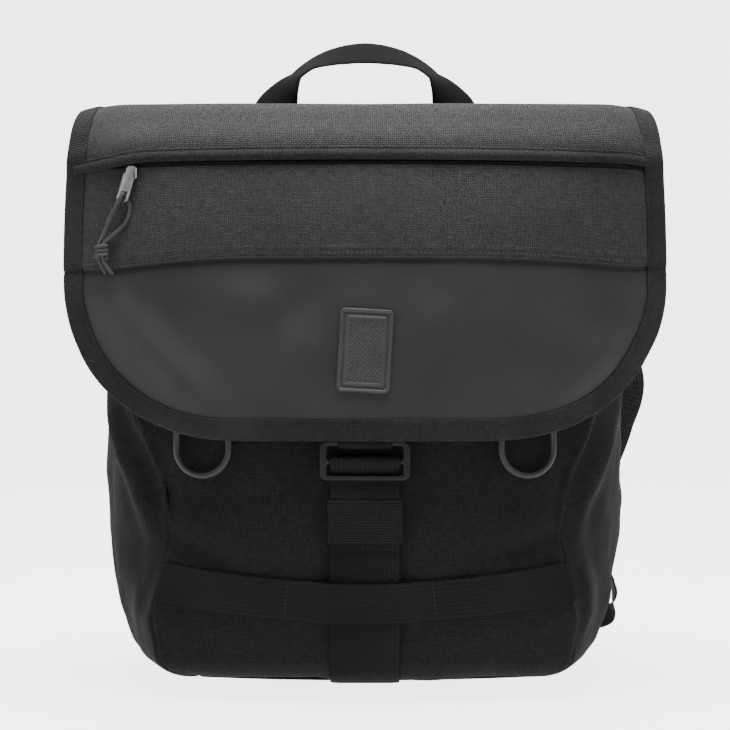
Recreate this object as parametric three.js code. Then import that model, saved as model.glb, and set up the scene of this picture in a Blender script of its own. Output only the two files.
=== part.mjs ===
// A bicycle messenger backpack: a tapered cloth box under a wide bound flap, with a zip pocket on
// the flap, a centre strap with its buckle, two D-rings, a lash band, a webbing grab handle and
// padded shoulder straps. Millimetres, +Z up, the front faces -Y, the origin is the middle of the
// underside. The wearer's back is at +Y.
import * as THREE from "three";

// Bag body
const BODY_HEIGHT = 400; // underside to the back panel's top edge
const BACK_WIDTH = 416; // widest part of the back panel
const BODY_DEPTH = 150; // back panel's inner face to the front seams
const CLOTH = 2; // doubled and coated cloth
const GAP = 0.38; // clearance between neighbouring pieces
const BASE_RADIUS = 17; // rounding of the bottom edge
const MOUTH_DROP = 16; // front panel's top edge below the back panel's
const BACK_PAD = 10; // padded back panel

// Flap
const FLAP_WIDTH = 434; // without its binding tape
const FLAP_BACK_WIDTH = 400;
const FLAP_RISE = 24; // flap's top above the back panel's top edge
const FLAP_DROP = 246; // flap's top down to the hem
const FLAP_OVERHANG = 46; // back seam to the flap's foremost point, beyond BODY_DEPTH
const FLAP_WRAP = 36; // how far the sides lie behind the middle
const WRAP_LEAD = 40; // length of the top over which they begin to
const FLAP_DROOP = 5; // how far the sides hang at the top
const DROOP_BAND = 36; // width of the drooping sides
const HEM_CORNER_WIDTH = 128;
const HEM_CORNER_HEIGHT = 121;
const HEM_CORNER_POWER = 2.2; // superellipse exponent of the hem's corners
const BACK_ROLL = 19; // radius where the flap leaves the back
const FRONT_ROLL = 54; // radius where it turns down
const BACK_LAP = 12; // flap lying on the back panel
const FLAP_CLOTH = 1.6;
const PANEL_CLOTH = 1.3; // outer panels sewn on the flap
const BINDING_WIDTH = 14;
const BINDING_TAPE = 1;

// Zip pocket on the flap
const HOOD_DROP = 47; // flap's top down to the hood's edge
const SEAM_DROP = 124; // flap's top down to the pocket's lower edge
const HOOD_WIDTH = 9; // tape that edges the hood
const HOOD_LIFT = 5.3; // hood's height over the flap cloth
const ZIP_WIDTH = 24;
const COIL_WIDTH = 5;
const COIL_HEIGHT = 1.3;
const SLIDER_ACROSS = -0.77; // where the slider stands, as a share of the flap's half width
const SLIDER_LENGTH = 11;
const SLIDER_WIDTH = 8;
const SLIDER_HEIGHT = 4.5;
const TAB_LENGTH = 22;
const TAB_WIDTH = 8.5;
const TAB_THICKNESS = 1.6;
const TAB_LEAN = 15; // degrees
const TAB_HOLE = 5;
const TAB_HOLE_EDGE = 3; // metal below the hole
const CORD_DIAMETER = 2.6;
const CORD_DROP = 41; // tab's hole down to the knot's middle
const KNOT_HEIGHT = 10;
const KNOT_WALL = 3.4;
const LABEL_WIDTH = 38;
const LABEL_HEIGHT = 59;
const LABEL_THICKNESS = 2.2;
const LABEL_BORDER = 5.5;
const LABEL_CORNER = 3;
const LABEL_LEAN = 3.2; // degrees
const LABEL_RISE = 62; // hem up to the middle of the label

// Centre strap and its buckle
const STRAP_WIDTH = 50;
const WEBBING = 1.6;
const BUCKLE_WALL = 5;
const BUCKLE_THICKNESS = 4.4;
const BUCKLE_CORNER = 5; // chamfer of its corners
const TOP_BAR = 4;
const UPPER_SLOT = 9.6;
const CROSSBAR = 3.2;
const LOWER_SLOT = 8.2;
const LOWER_BAR = 3.4;
const BUCKLE_FOOT = 148.5; // its lower edge above the ground
const BUCKLE_TAB = 38; // width of the webbing that hangs it from the flap
const BUCKLE_TAB_RUN = 34;
const BUCKLE_TAB_LEAN = 2.5; // degrees, up to the flap's underside
const STRAP_END = 99; // height at which the turned-back strap ends
const KEEPER_HEIGHT = 31;
const KEEPER_FOOT = 104; // the keeper's lower edge
const KEEPER_TAPE = 1.3;

// Lash band and D-rings
const BAND_HEIGHT = 28;
const BAND_FOOT = 60; // lower edge at its ends
const BAND_SAG = 12;
const BAND_SLACK = 2.9; // room where it crosses the centre strap
const RING_INSIDE = 34;
const RING_WIRE = 4.8;
const RING_LEG = 12.5; // straight part between the bar and the bow
const RING_ACROSS = 115;
const RING_BAR_HEIGHT = 185.5;
const RING_TAB = 32;
const TAB_RUN = 26; // length of the ring's tab above the bar
const RING_TAB_LEAN = 3; // degrees, towards the front panel
const RING_TURN = 1.32; // the tab's eye over the ring's bar, so that the bar can turn

// Grab handle
const HANDLE_WIDTH = 38;
const HANDLE_WEBBING = 2.4;
const HANDLE_SPAN = 163; // between the middles of its two feet
const HANDLE_TOP = 489; // its middle at the crest
const HANDLE_FOOT = 362; // lower ends of its feet

// Shoulder straps
const YOKE_WIDTH = 300;
const YOKE_HEIGHT = 40;
const YOKE_THICKNESS = 4.6;
const PAD_WIDTH = 62;
const PAD_END_WIDTH = 36;
const PAD_THICKNESS = 10;
const PAD_EDGE = 3.2; // thickness along its bound edge
const PAD_SPACING = 116; // between the middles of the pads' upper ends
const PAD_DROP = 232; // upper end down to the lower end
const LEFT_SPREAD = 100; // how far the left pad moves outwards
const LEFT_BOW = 60; // how far it stands off the back
const RIGHT_SPREAD = 147;
const RIGHT_BOW = 42;
const LEFT_LOWER_BOW = 26; // how far the lower webbing swings out
const RIGHT_LOWER_BOW = 49;
const LOWER_WEBBING = 25;
const LOOP_RUN = 14; // webbing between the pad and its adjuster
const ADJUSTER_WALL = 3.6;
const ADJUSTER_SLOT = 6.4;
const ADJUSTER_THICKNESS = 3.2;
const ADJUSTER_BAR = 3.2;
const ANCHOR_WIDTH = 46;
const ANCHOR_HEIGHT = 42;
const ANCHOR_FOOT = 2;
const ANCHOR_ACROSS = 158;
const ANCHOR_THICKNESS = 2.4;
const TAIL_LENGTH = 62;

// Derived places
const BACK_Y = BODY_DEPTH / 2; // back panel's inner face
const BACK_FACE = BACK_Y + BACK_PAD; // its outer face
const HALF_BACK = BACK_WIDTH / 2;
const FLAP_TOP = BODY_HEIGHT + FLAP_RISE;
const FLAP_REACH = BODY_DEPTH + FLAP_OVERHANG;
const ANCHOR_FACE = BACK_FACE + GAP + ANCHOR_THICKNESS;
const SEAM_STEP = CLOTH + 3 * GAP; // the side panels start behind the front panel's thickness

const CLOTH_DARK = new THREE.MeshStandardMaterial({ color: 0x232527, roughness: 0.9 });
const CANVAS = new THREE.MeshStandardMaterial({ color: 0x2f3031, roughness: 0.9 });
const COATED = new THREE.MeshStandardMaterial({ color: 0x2a2c2d, roughness: 0.6 });
const TAPE = new THREE.MeshStandardMaterial({ color: 0x292b2d, roughness: 0.85 });
const STRAPPING = new THREE.MeshStandardMaterial({ color: 0x202224, roughness: 0.8 });
const PLASTIC = new THREE.MeshStandardMaterial({ color: 0x2d2f31, roughness: 0.45 });
const METAL = new THREE.MeshStandardMaterial({ color: 0x3c3e40, roughness: 0.35, metalness: 0.9 });
const RUBBER = new THREE.MeshStandardMaterial({ color: 0x2a2b2c, roughness: 0.6 });
const PADDING = new THREE.MeshStandardMaterial({ color: 0x1f2122, roughness: 0.95 });

const bag = new THREE.Group();

const v3 = (x, y, z) => new THREE.Vector3(x, y, z);
const { degToRad: radians, lerp, smoothstep: smooth } = THREE.MathUtils;
const steps = (low, high, count) => Array.from({ length: count + 1 }, (_, i) => lerp(low, high, i / count));

function piece(name, geometry, material) {
  const mesh = new THREE.Mesh(geometry, material);
  mesh.name = name;
  bag.add(mesh);
  return mesh;
}

function signedVolume(points, index) {
  let six = 0;
  for (let i = 0; i < index.length; i += 3) {
    const [a, b, c] = [points[index[i]], points[index[i + 1]], points[index[i + 2]]];
    six += a.dot(b.clone().cross(c));
  }
  return six / 6;
}

// A closed solid through rings of equal, even point counts. Open ends are closed across the ring.
function loft(rings, closed = false) {
  const count = rings[0].length;
  const index = [];
  const quad = (a, b, c, d) => index.push(a, b, c, a, c, d);
  for (let r = 0; r < (closed ? rings.length : rings.length - 1); r++) {
    const here = r * count;
    const next = ((r + 1) % rings.length) * count;
    for (let i = 0; i < count; i++) {
      const j = (i + 1) % count;
      quad(here + i, here + j, next + j, next + i);
    }
  }
  const end = (rings.length - 1) * count;
  for (let i = 0; !closed && i < count / 2 - 1; i++) {
    const j = count - 1 - i;
    quad(i, j, j - 1, i + 1);
    quad(end + i, end + i + 1, end + j - 1, end + j);
  }
  const points = rings.flat();
  if (signedVolume(points, index) < 0) index.reverse();
  const geometry = new THREE.BufferGeometry().setFromPoints(points);
  geometry.setIndex(index);
  geometry.computeVertexNormals();
  return geometry;
}

// A point at a distance from a surface(u, v), along its normal. The surface's u and v run so that
// the normal points out of the bag.
function above(surface, u, v, distance, step) {
  const across = surface(u + step[0], v).sub(surface(u - step[0], v));
  const along = surface(u, v + step[1]).sub(surface(u, v - step[1]));
  return surface(u, v).addScaledVector(across.cross(along).normalize(), distance);
}

// A height that is a number or a function of its place.
const valueAt = (height, u, v) => (typeof height === "function" ? height(u, v) : height);

// Cloth over rows of a surface, between two heights above it. columns(row) lists the places across.
function cloth(surface, rows, columns, low, high, step) {
  return loft(rows.map((row) => {
    const places = columns(row);
    const layer = (height) => places.map((u) => above(surface, u, row, valueAt(height, u, row), step));
    const [outer, inner] = [layer(high), layer(low)];
    return [...outer, ...inner.reverse()];
  }));
}

// Smooth value of one column of a table of rows with an `at` column.
function column(table, key, at) {
  const last = table.length - 1;
  const x = THREE.MathUtils.clamp(at, table[0].at, table[last].at);
  let i = 0;
  while (i < last - 1 && table[i + 1].at < x) i++;
  const slope = (k) => {
    const [a, b] = [table[Math.max(k - 1, 0)], table[Math.min(k + 1, last)]];
    return (b[key] - a[key]) / (b.at - a.at);
  };
  const [from, to] = [table[i], table[i + 1]];
  const span = to.at - from.at;
  const s = (x - from.at) / span;
  const rise = to[key] - from[key];
  return from[key] + s * span * slope(i) + s * s * (3 * rise - span * (2 * slope(i) + slope(i + 1)))
    + s * s * s * (span * (slope(i) + slope(i + 1)) - 2 * rise);
}

// Sections of the body, bottom to top. at: height, seam: front seam's place across, front: seam's
// distance from the back, bulge: front panel's crown, side: side panel's crown, back: back corner.
// Heights are shares of BODY_HEIGHT, places across of half BACK_WIDTH, the others of BODY_DEPTH.
const SECTIONS = [
  { at: 0, seam: 0.765, front: 0.965, bulge: 0.085, side: 0.03, back: 0.9 },
  { at: 0.075, seam: 0.755, front: 0.995, bulge: 0.11, side: 0.06, back: 0.925 },
  { at: 0.15, seam: 0.737, front: 1.005, bulge: 0.125, side: 0.085, back: 0.955 },
  { at: 0.24, seam: 0.695, front: 0.985, bulge: 0.15, side: 0.09, back: 0.995 },
  { at: 0.35, seam: 0.722, front: 0.965, bulge: 0.165, side: 0.085, back: 1.005 },
  { at: 0.47, seam: 0.805, front: 0.945, bulge: 0.17, side: 0.065, back: 1 },
  { at: 0.62, seam: 0.87, front: 0.92, bulge: 0.165, side: 0.045, back: 1 },
  { at: 0.8, seam: 0.91, front: 0.88, bulge: 0.14, side: 0.035, back: 0.99 },
  { at: 1, seam: 0.925, front: 0.83, bulge: 0.1, side: 0.03, back: 0.97 },
];

// Soft folds of the side panels. across runs from the front seam (0) to the back (1), up is a share
// of BODY_HEIGHT, width and depth are shares of BODY_DEPTH, a negative depth is a furrow.
const SIDE_FOLDS = [
  { across: 0.1, up: 0.5, toAcross: 0.02, toUp: 0.26, width: 0.07, depth: -0.035 },
  { across: 0.34, up: 0.52, toAcross: 0.1, toUp: 0.28, width: 0.09, depth: 0.04 },
  { across: 0.3, up: 0.2, toAcross: 0.5, toUp: 0.05, width: 0.13, depth: -0.035 },
];

// Height of the folds at a place, both in millimetres along the panel.
function folded(folds, across, up) {
  return folds.reduce((sum, fold) => {
    const place = new THREE.Vector2(across * BODY_DEPTH, up);
    const start = new THREE.Vector2(fold.across * BODY_DEPTH, fold.up * BODY_HEIGHT);
    const end = new THREE.Vector2(fold.toAcross * BODY_DEPTH, fold.toUp * BODY_HEIGHT);
    const along = end.clone().sub(start);
    const share = THREE.MathUtils.clamp(place.clone().sub(start).dot(along) / along.lengthSq(), 0, 1);
    const off = place.distanceTo(start.addScaledVector(along, share)) / (fold.width * BODY_DEPTH);
    return sum + fold.depth * BODY_DEPTH * Math.exp(-off * off);
  }, 0);
}

// Section of the body at a climb up the wall from the rim of the base, round the bottom edge.
function section(climb) {
  const bend = Math.PI / 2;
  const angle = THREE.MathUtils.clamp(climb / BASE_RADIUS, 0, bend);
  const inset = BASE_RADIUS * (1 - Math.sin(angle));
  const z = BASE_RADIUS * (1 - Math.cos(angle)) + Math.max(climb - BASE_RADIUS * bend, 0);
  const at = z / BODY_HEIGHT;
  return {
    z,
    seamX: column(SECTIONS, "seam", at) * HALF_BACK - inset,
    seamY: BACK_Y - column(SECTIONS, "front", at) * BODY_DEPTH + inset,
    bulge: column(SECTIONS, "bulge", at) * BODY_DEPTH,
    side: column(SECTIONS, "side", at) * BODY_DEPTH,
    backX: column(SECTIONS, "back", at) * HALF_BACK - inset,
  };
}

const climbTo = (z) => z - BASE_RADIUS + (BASE_RADIUS * Math.PI) / 2;

// Front panel: across runs from -1 to 1 between the seams.
function frontPanel(across, climb) {
  const s = section(climb);
  return v3(across * s.seamX, s.seamY - s.bulge * (1 - across * across), s.z);
}

// Side panel of one hand (-1 or 1): across runs from the front seam (0) to the back panel (1).
function sidePanel(hand) {
  return (across, climb) => {
    const s = section(climb);
    const [dx, dy] = [s.backX - s.seamX, BACK_Y - s.seamY];
    const chord = Math.hypot(dx, dy);
    const fade = smooth(climb, 0, BASE_RADIUS * 2);
    const out = s.side * 4 * across * (1 - across) + fade * folded(SIDE_FOLDS, across, s.z);
    const x = s.seamX + across * dx + (out * dy) / chord;
    const y = s.seamY + across * dy - (out * dx) / chord;
    return v3(hand * x, y, s.z);
  };
}

const FRONT_STEP = [0.01, 0.5];
const SIDE_STEP = [0.01, 0.5];
const onFront = (across, climb, distance) => above(frontPanel, across, climb, distance, FRONT_STEP);

const arcRows = steps(0, (BASE_RADIUS * Math.PI) / 2, 3);
const wallRows = (top) => [...arcRows, ...steps(climbTo(BASE_RADIUS), climbTo(top), 11).slice(1)];

function body() {
  const frontTop = BODY_HEIGHT - MOUTH_DROP;
  const front = cloth(frontPanel, wallRows(frontTop), () => steps(-1, 1, 14), -CLOTH, 0, FRONT_STEP);
  piece("front_panel", front, CLOTH_DARK);

  for (const [name, hand] of [["side_panel_left", -1], ["side_panel_right", 1]]) {
    const surface = sidePanel(hand);
    const first = SEAM_STEP / BODY_DEPTH;
    const last = 1 - (CLOTH / 2 + GAP) / BODY_DEPTH;
    const sign = hand; // the mirrored side's normal points in
    const wall = [0, -CLOTH * sign].sort((a, b) => a - b);
    const side = cloth(surface, wallRows(frontTop), () => steps(first, last, 9), ...wall, SIDE_STEP);
    piece(name, side, CLOTH_DARK);
  }

  const rim = (hand) => steps(SEAM_STEP / BODY_DEPTH, 1, 6).map((a) => sidePanel(hand)(a, 0));
  const outline = [...steps(-1, 1, 14).map((a) => frontPanel(a, 0)), ...rim(1), ...rim(-1).reverse()];
  const middle = v3(0, 0, 0);
  const plate = new THREE.Shape(outline.map((p) => {
    const inward = middle.clone().sub(p).setLength(2 * GAP);
    return new THREE.Vector2(p.x + inward.x, Math.min(p.y + inward.y, BACK_Y - GAP));
  }));
  piece("base_panel", new THREE.ExtrudeGeometry(plate, { depth: CLOTH, bevelEnabled: false }), CLOTH_DARK);

  const chamfer = BACK_PAD / 3;
  const slab = [...wallRows(BODY_HEIGHT)].map((climb) => {
    const s = section(climb);
    const ease = Math.max(chamfer - (climbTo(BODY_HEIGHT) - climb), 0);
    const half = s.backX - ease;
    return [
      v3(-half, BACK_Y, s.z), v3(half, BACK_Y, s.z),
      v3(half, BACK_FACE - chamfer, s.z), v3(half - chamfer, BACK_FACE, s.z),
      v3(-half + chamfer, BACK_FACE, s.z), v3(-half, BACK_FACE - chamfer, s.z),
    ];
  });
  piece("back_panel", loft(slab), PADDING);
}

// The flap's middle line, from the back seam over the top to the hem, as arcs: length and turn in
// degrees. It starts upwards and ends downwards.
function flapLine(topRun, fallRun) {
  const roll = (radius, turn) => ({ length: radius * radians(turn), turn });
  return [
    { length: BACK_LAP, turn: 0 },
    roll(BACK_ROLL, 80),
    { length: topRun, turn: 17 },
    roll(FRONT_ROLL, 66),
    { length: SEAM_DROP - HOOD_DROP, turn: 13 },
    { length: fallRun, turn: 7 },
  ];
}

// Place (y, z) and heading at a distance along a line of arcs that starts at the origin, upwards.
function walk(line, distance) {
  let [y, z, heading, left] = [0, 0, Math.PI / 2, distance];
  for (const [i, { length, turn }] of line.entries()) {
    const run = i === line.length - 1 ? left : Math.min(left, length);
    const bend = radians(turn) / length;
    const turned = heading + bend * run;
    if (turn === 0) {
      y += run * Math.cos(heading);
      z += run * Math.sin(heading);
    } else {
      y += (Math.sin(turned) - Math.sin(heading)) / bend;
      z -= (Math.cos(turned) - Math.cos(heading)) / bend;
    }
    heading = turned;
    left -= run;
    if (left <= 0) break;
  }
  return { y, z, heading };
}

const lengthOf = (line) => line.reduce((sum, arc) => sum + arc.length, 0);
const crestOf = (line) => Math.max(...steps(0, lengthOf(line), 400).map((d) => walk(line, d).z));
const reachOf = (line) => -Math.min(...steps(0, lengthOf(line), 400).map((d) => walk(line, d).y));
const dropOf = (line) => crestOf(line) - walk(line, lengthOf(line)).z;

// The length that gives a measure its wanted value. The measure grows evenly with the length.
function lengthFor(measure, wanted) {
  const [low, high] = [measure(100), measure(200)];
  return 100 + (100 * (wanted - low)) / (high - low);
}

const TOP_RUN = lengthFor((run) => reachOf(flapLine(run, 100)), FLAP_REACH);
const FALL_RUN = lengthFor((run) => dropOf(flapLine(TOP_RUN, run)), FLAP_DROP);
const FLAP_LINE = flapLine(TOP_RUN, FALL_RUN);
const FLAP_LENGTH = lengthOf(FLAP_LINE);
const FLAP_FOOT = FLAP_TOP - crestOf(FLAP_LINE); // height of the back seam
const BINDING_SKIN = FLAP_CLOTH / 2 + GAP + BINDING_TAPE; // binding's outer face from the flap's middle
const FLAP_START = BACK_FACE + GAP + BINDING_SKIN;
const TOP_START = BACK_LAP + BACK_ROLL * radians(80);
const TOP_END = TOP_START + TOP_RUN;

// Distance along the flap at which its front lies a drop below its top.
function fallTo(drop) {
  let [low, high] = [TOP_END, FLAP_LENGTH];
  for (let i = 0; i < 40; i++) {
    const middle = (low + high) / 2;
    if (FLAP_FOOT + walk(FLAP_LINE, middle).z > FLAP_TOP - drop) low = middle;
    else high = middle;
  }
  return low;
}

const HOOD_AT = fallTo(HOOD_DROP);
const ZIP_AT = HOOD_AT + COIL_WIDTH / 2;
const SEAM_AT = fallTo(SEAM_DROP);
const CORNER_AT = FLAP_LENGTH - HEM_CORNER_HEIGHT;

// Half width of the flap at a distance along it, with the round corners of the hem.
function flapHalf(along) {
  const spread = smooth(along, 0, SEAM_AT);
  const side = lerp(FLAP_BACK_WIDTH, FLAP_WIDTH, spread) / 2;
  const down = THREE.MathUtils.clamp((along - CORNER_AT) / HEM_CORNER_HEIGHT, 0, 1);
  const inside = (1 - down ** HEM_CORNER_POWER) ** (1 / HEM_CORNER_POWER);
  return side - HEM_CORNER_WIDTH * (1 - inside);
}

// Flap: across in millimetres from the middle, along from the back seam.
function flapSurface(across, along) {
  const { y, z } = walk(FLAP_LINE, along);
  const side = lerp(FLAP_BACK_WIDTH, FLAP_WIDTH, smooth(along, 0, SEAM_AT)) / 2;
  const share = Math.abs(across) / side;
  const wrap = FLAP_WRAP * share ** 2.2 * smooth(along, TOP_END - WRAP_LEAD, SEAM_AT);
  const onTop = smooth(along, 0, TOP_START) * (1 - smooth(along, TOP_END, SEAM_AT));
  const hang = Math.max((Math.abs(across) - side + DROOP_BAND) / DROOP_BAND, 0) ** 2;
  return v3(across, FLAP_START + y + wrap, FLAP_FOOT + z - FLAP_DROOP * hang * onTop);
}

const FLAP_STEP = [0.5, 0.5];
const onFlap = (across, along, distance) => above(flapSurface, across, along, -distance, FLAP_STEP);

const flapRows = [
  ...steps(0, BACK_LAP, 1), ...steps(BACK_LAP, TOP_START, 4).slice(1),
  ...steps(TOP_START, TOP_END, 4).slice(1), ...steps(TOP_END, HOOD_AT, 4).slice(1),
  ...steps(HOOD_AT, SEAM_AT, 6).slice(1), ...steps(SEAM_AT, CORNER_AT, 1).slice(1),
];
const cornerRows = steps(0, Math.PI / 2, 8).slice(1).map((angle) =>
  CORNER_AT + HEM_CORNER_HEIGHT * Math.sin(angle) ** (2 / HEM_CORNER_POWER));
const EDGE_INSET = BINDING_WIDTH + GAP; // where the panels on the flap end
const SIDE_INSETS = [0, EDGE_INSET, (EDGE_INSET + DROOP_BAND) / 2, DROOP_BAND];

// Places across the flap at a distance along it, from edge to edge or only between the bindings.
function flapAcross(bound) {
  const insets = bound ? SIDE_INSETS : SIDE_INSETS.slice(1);
  return (along) => {
    const half = flapHalf(along);
    const inner = half - DROOP_BAND;
    const side = insets.map((inset) => half - inset);
    return [...side.map((x) => -x), ...steps(-inner, inner, 10).slice(1, -1), ...side.reverse()];
  };
}

// Cloth on the flap. Its normal points in, so heights above it change sign.
function flapCloth(rows, bound, low, high) {
  const inwards = (height) => (u, v) => -valueAt(height, u, v);
  return cloth(flapSurface, rows, flapAcross(bound), inwards(low), inwards(high), FLAP_STEP);
}

const PANEL_LOW = FLAP_CLOTH / 2 + GAP;
const ZIP_TOP = PANEL_LOW + BINDING_TAPE;
const POCKET_LOW = ZIP_TOP + GAP;

function flap() {
  const rows = [...flapRows, ...cornerRows];
  piece("flap_base", flapCloth(rows, true, -FLAP_CLOTH / 2, FLAP_CLOTH / 2), COATED);

  const hoodBack = HOOD_AT - HOOD_WIDTH - 1;
  const topRows = [...flapRows.filter((row) => row < hoodBack - 2), hoodBack, HOOD_AT - HOOD_WIDTH / 2];
  const rise = (v) => (HOOD_LIFT - PANEL_LOW) * smooth(v, HOOD_AT - ZIP_WIDTH * 1.5, HOOD_AT - ZIP_WIDTH / 2);
  const top = flapCloth(topRows, false,
    (u, v) => PANEL_LOW + rise(v), (u, v) => PANEL_LOW + PANEL_CLOTH + rise(v));
  piece("flap_top_panel", top, CANVAS);

  const pocketTop = ZIP_AT + COIL_WIDTH;
  const pocketRows = [pocketTop, ...flapRows.filter((row) => row > pocketTop + 2 && row <= SEAM_AT)];
  const pocket = flapCloth(pocketRows, false, POCKET_LOW, POCKET_LOW + PANEL_CLOTH);
  piece("flap_pocket_panel", pocket, CANVAS);
}

// A bar of one profile across the flap. Profile points are (along, height) from a line at `at`.
function flapBar(profile, at) {
  const places = profile.map(([along]) => flapAcross(false)(at + along));
  return loft(places[0].map((_, i) =>
    profile.map(([along, height], j) => onFlap(places[j][i], at + along, height))));
}

function zip() {
  const half = ZIP_WIDTH / 2;
  const coil = COIL_WIDTH / 2;
  const crest = ZIP_TOP + COIL_HEIGHT;
  const tape = [
    [-half, ZIP_TOP], [-coil, ZIP_TOP], [-coil, crest], [coil, crest], [coil, ZIP_TOP], [half, ZIP_TOP],
    [half, PANEL_LOW], [coil, PANEL_LOW], [coil / 2, PANEL_LOW],
    [-coil / 2, PANEL_LOW], [-coil, PANEL_LOW], [-half, PANEL_LOW],
  ];
  piece("zip_tape", flapBar(tape, ZIP_AT), TAPE);

  const slot = [HOOD_LIFT - GAP, HOOD_LIFT + PANEL_CLOTH + GAP];
  const skin = [slot[0] - BINDING_TAPE, slot[1] + BINDING_TAPE];
  const middle = HOOD_LIFT + PANEL_CLOTH / 2;
  const fold = HOOD_WIDTH / 4;
  const hood = [
    [-HOOD_WIDTH, skin[1]], [-fold, skin[1]], [0, middle], [-fold, skin[0]], [-HOOD_WIDTH, skin[0]],
    [-HOOD_WIDTH, slot[0]], [-fold - BINDING_TAPE, slot[0]], [-fold, middle],
    [-fold - BINDING_TAPE, slot[1]], [-HOOD_WIDTH, slot[1]],
  ];
  piece("zip_hood", flapBar(hood, HOOD_AT), TAPE);
}

// Binding tape folded over the free edge of the flap, down one side, along the hem and up the other.
function binding() {
  const rows = [...flapRows, ...cornerRows];
  const left = rows.map((along) => [-flapHalf(along), along]);
  const hem = flapAcross(true)(FLAP_LENGTH).slice(1, -1).map((across) => [across, FLAP_LENGTH]);
  const right = rows.map((along) => [flapHalf(along), along]).reverse();
  const edge = [...left, ...hem, ...right];
  const groove = FLAP_CLOTH / 2 + GAP;
  const skin = BINDING_SKIN;
  const profile = [
    [BINDING_WIDTH, skin], [0, skin], [-GAP - BINDING_TAPE, 0], [0, -skin], [BINDING_WIDTH, -skin],
    [BINDING_WIDTH, -groove], [-GAP, -groove], [-GAP, 0], [-GAP, groove], [BINDING_WIDTH, groove],
  ];
  const rings = edge.map(([across, along], i) => {
    const before = edge[Math.max(i - 1, 0)];
    const after = edge[Math.min(i + 1, edge.length - 1)];
    const run = new THREE.Vector2(after[0] - before[0], after[1] - before[1]).normalize();
    return profile.map(([inward, height]) =>
      onFlap(across + run.y * inward, along - run.x * inward, height));
  });
  piece("flap_binding", loft(rings), TAPE);
}

// Outline of a rounded rectangle, so ordered that loft() can close it.
function roundedOutline(halfWidth, halfHeight, radius) {
  const corners = [[1, 1], [-1, 1], [-1, -1], [1, -1]];
  return corners.flatMap(([x, y], quarter) => steps(0, 1, 3).map((share) => {
    const angle = ((quarter + share) * Math.PI) / 2;
    return [
      x * (halfWidth - radius) + radius * Math.cos(angle),
      y * (halfHeight - radius) + radius * Math.sin(angle),
    ];
  }));
}

// Lays a geometry on the flap: its x runs across, its y up the flap and its z out of it.
function drape(geometry, across, along, lean, low) {
  const places = geometry.attributes.position;
  const angle = radians(lean);
  for (let i = 0; i < places.count; i++) {
    const [x, y, z] = [places.getX(i), places.getY(i), places.getZ(i)];
    const u = across + x * Math.cos(angle) + y * Math.sin(angle);
    const v = along + x * Math.sin(angle) - y * Math.cos(angle);
    const point = onFlap(u, v, low + z);
    places.setXYZ(i, point.x, point.y, point.z);
  }
  geometry.computeVertexNormals();
  return geometry;
}

function label() {
  const [w, h] = [LABEL_WIDTH / 2, LABEL_HEIGHT / 2];
  const edge = LABEL_THICKNESS / 5;
  const recess = LABEL_THICKNESS / 3;
  const ring = (inset, radius, z) =>
    roundedOutline(w - inset, h - inset, radius).map(([x, y]) => v3(x, y, z));
  const plate = loft([
    ring(0, LABEL_CORNER, 0), ring(0, LABEL_CORNER, LABEL_THICKNESS - edge),
    ring(edge, LABEL_CORNER - edge, LABEL_THICKNESS),
    ring(LABEL_BORDER, LABEL_CORNER / 3, LABEL_THICKNESS),
    ring(LABEL_BORDER + edge, LABEL_CORNER / 3, LABEL_THICKNESS - recess),
  ]);
  piece("label_patch", drape(plate, 0, fallTo(FLAP_DROP - LABEL_RISE), LABEL_LEAN, PANEL_LOW + GAP), RUBBER);
}

function roundOutline(radius, sides) {
  const turns = steps(0, 2 * Math.PI, sides).slice(1);
  return turns.map((a) => new THREE.Vector2(radius * Math.cos(a), radius * Math.sin(a)));
}

// A flat plate with holes and a small chamfer, from outlines in the plane.
function plate(outline, holes, thickness, chamfer) {
  const path = (points) => points.map(([x, y]) => new THREE.Vector2(x, y));
  const shape = new THREE.Shape(path(outline));
  shape.holes = holes.map((hole) => new THREE.Path(path(hole)));
  const bevel = { bevelThickness: chamfer, bevelSize: chamfer, bevelOffset: -chamfer, bevelSegments: 1 };
  const extrude = { depth: thickness - 2 * chamfer, bevelEnabled: chamfer > 0, ...bevel };
  return new THREE.ExtrudeGeometry(shape, extrude).translate(0, 0, chamfer - thickness / 2);
}

const box = (x0, x1, y0, y1) => [[x0, y0], [x1, y0], [x1, y1], [x0, y1]];

// A plate outline with cut corners.
function cutBox(x0, x1, y0, y1, cut) {
  return [
    [x0 + cut, y0], [x1 - cut, y0], [x1, y0 + cut], [x1, y1 - cut],
    [x1 - cut, y1], [x0 + cut, y1], [x0, y1 - cut], [x0, y0 + cut],
  ];
}

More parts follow.
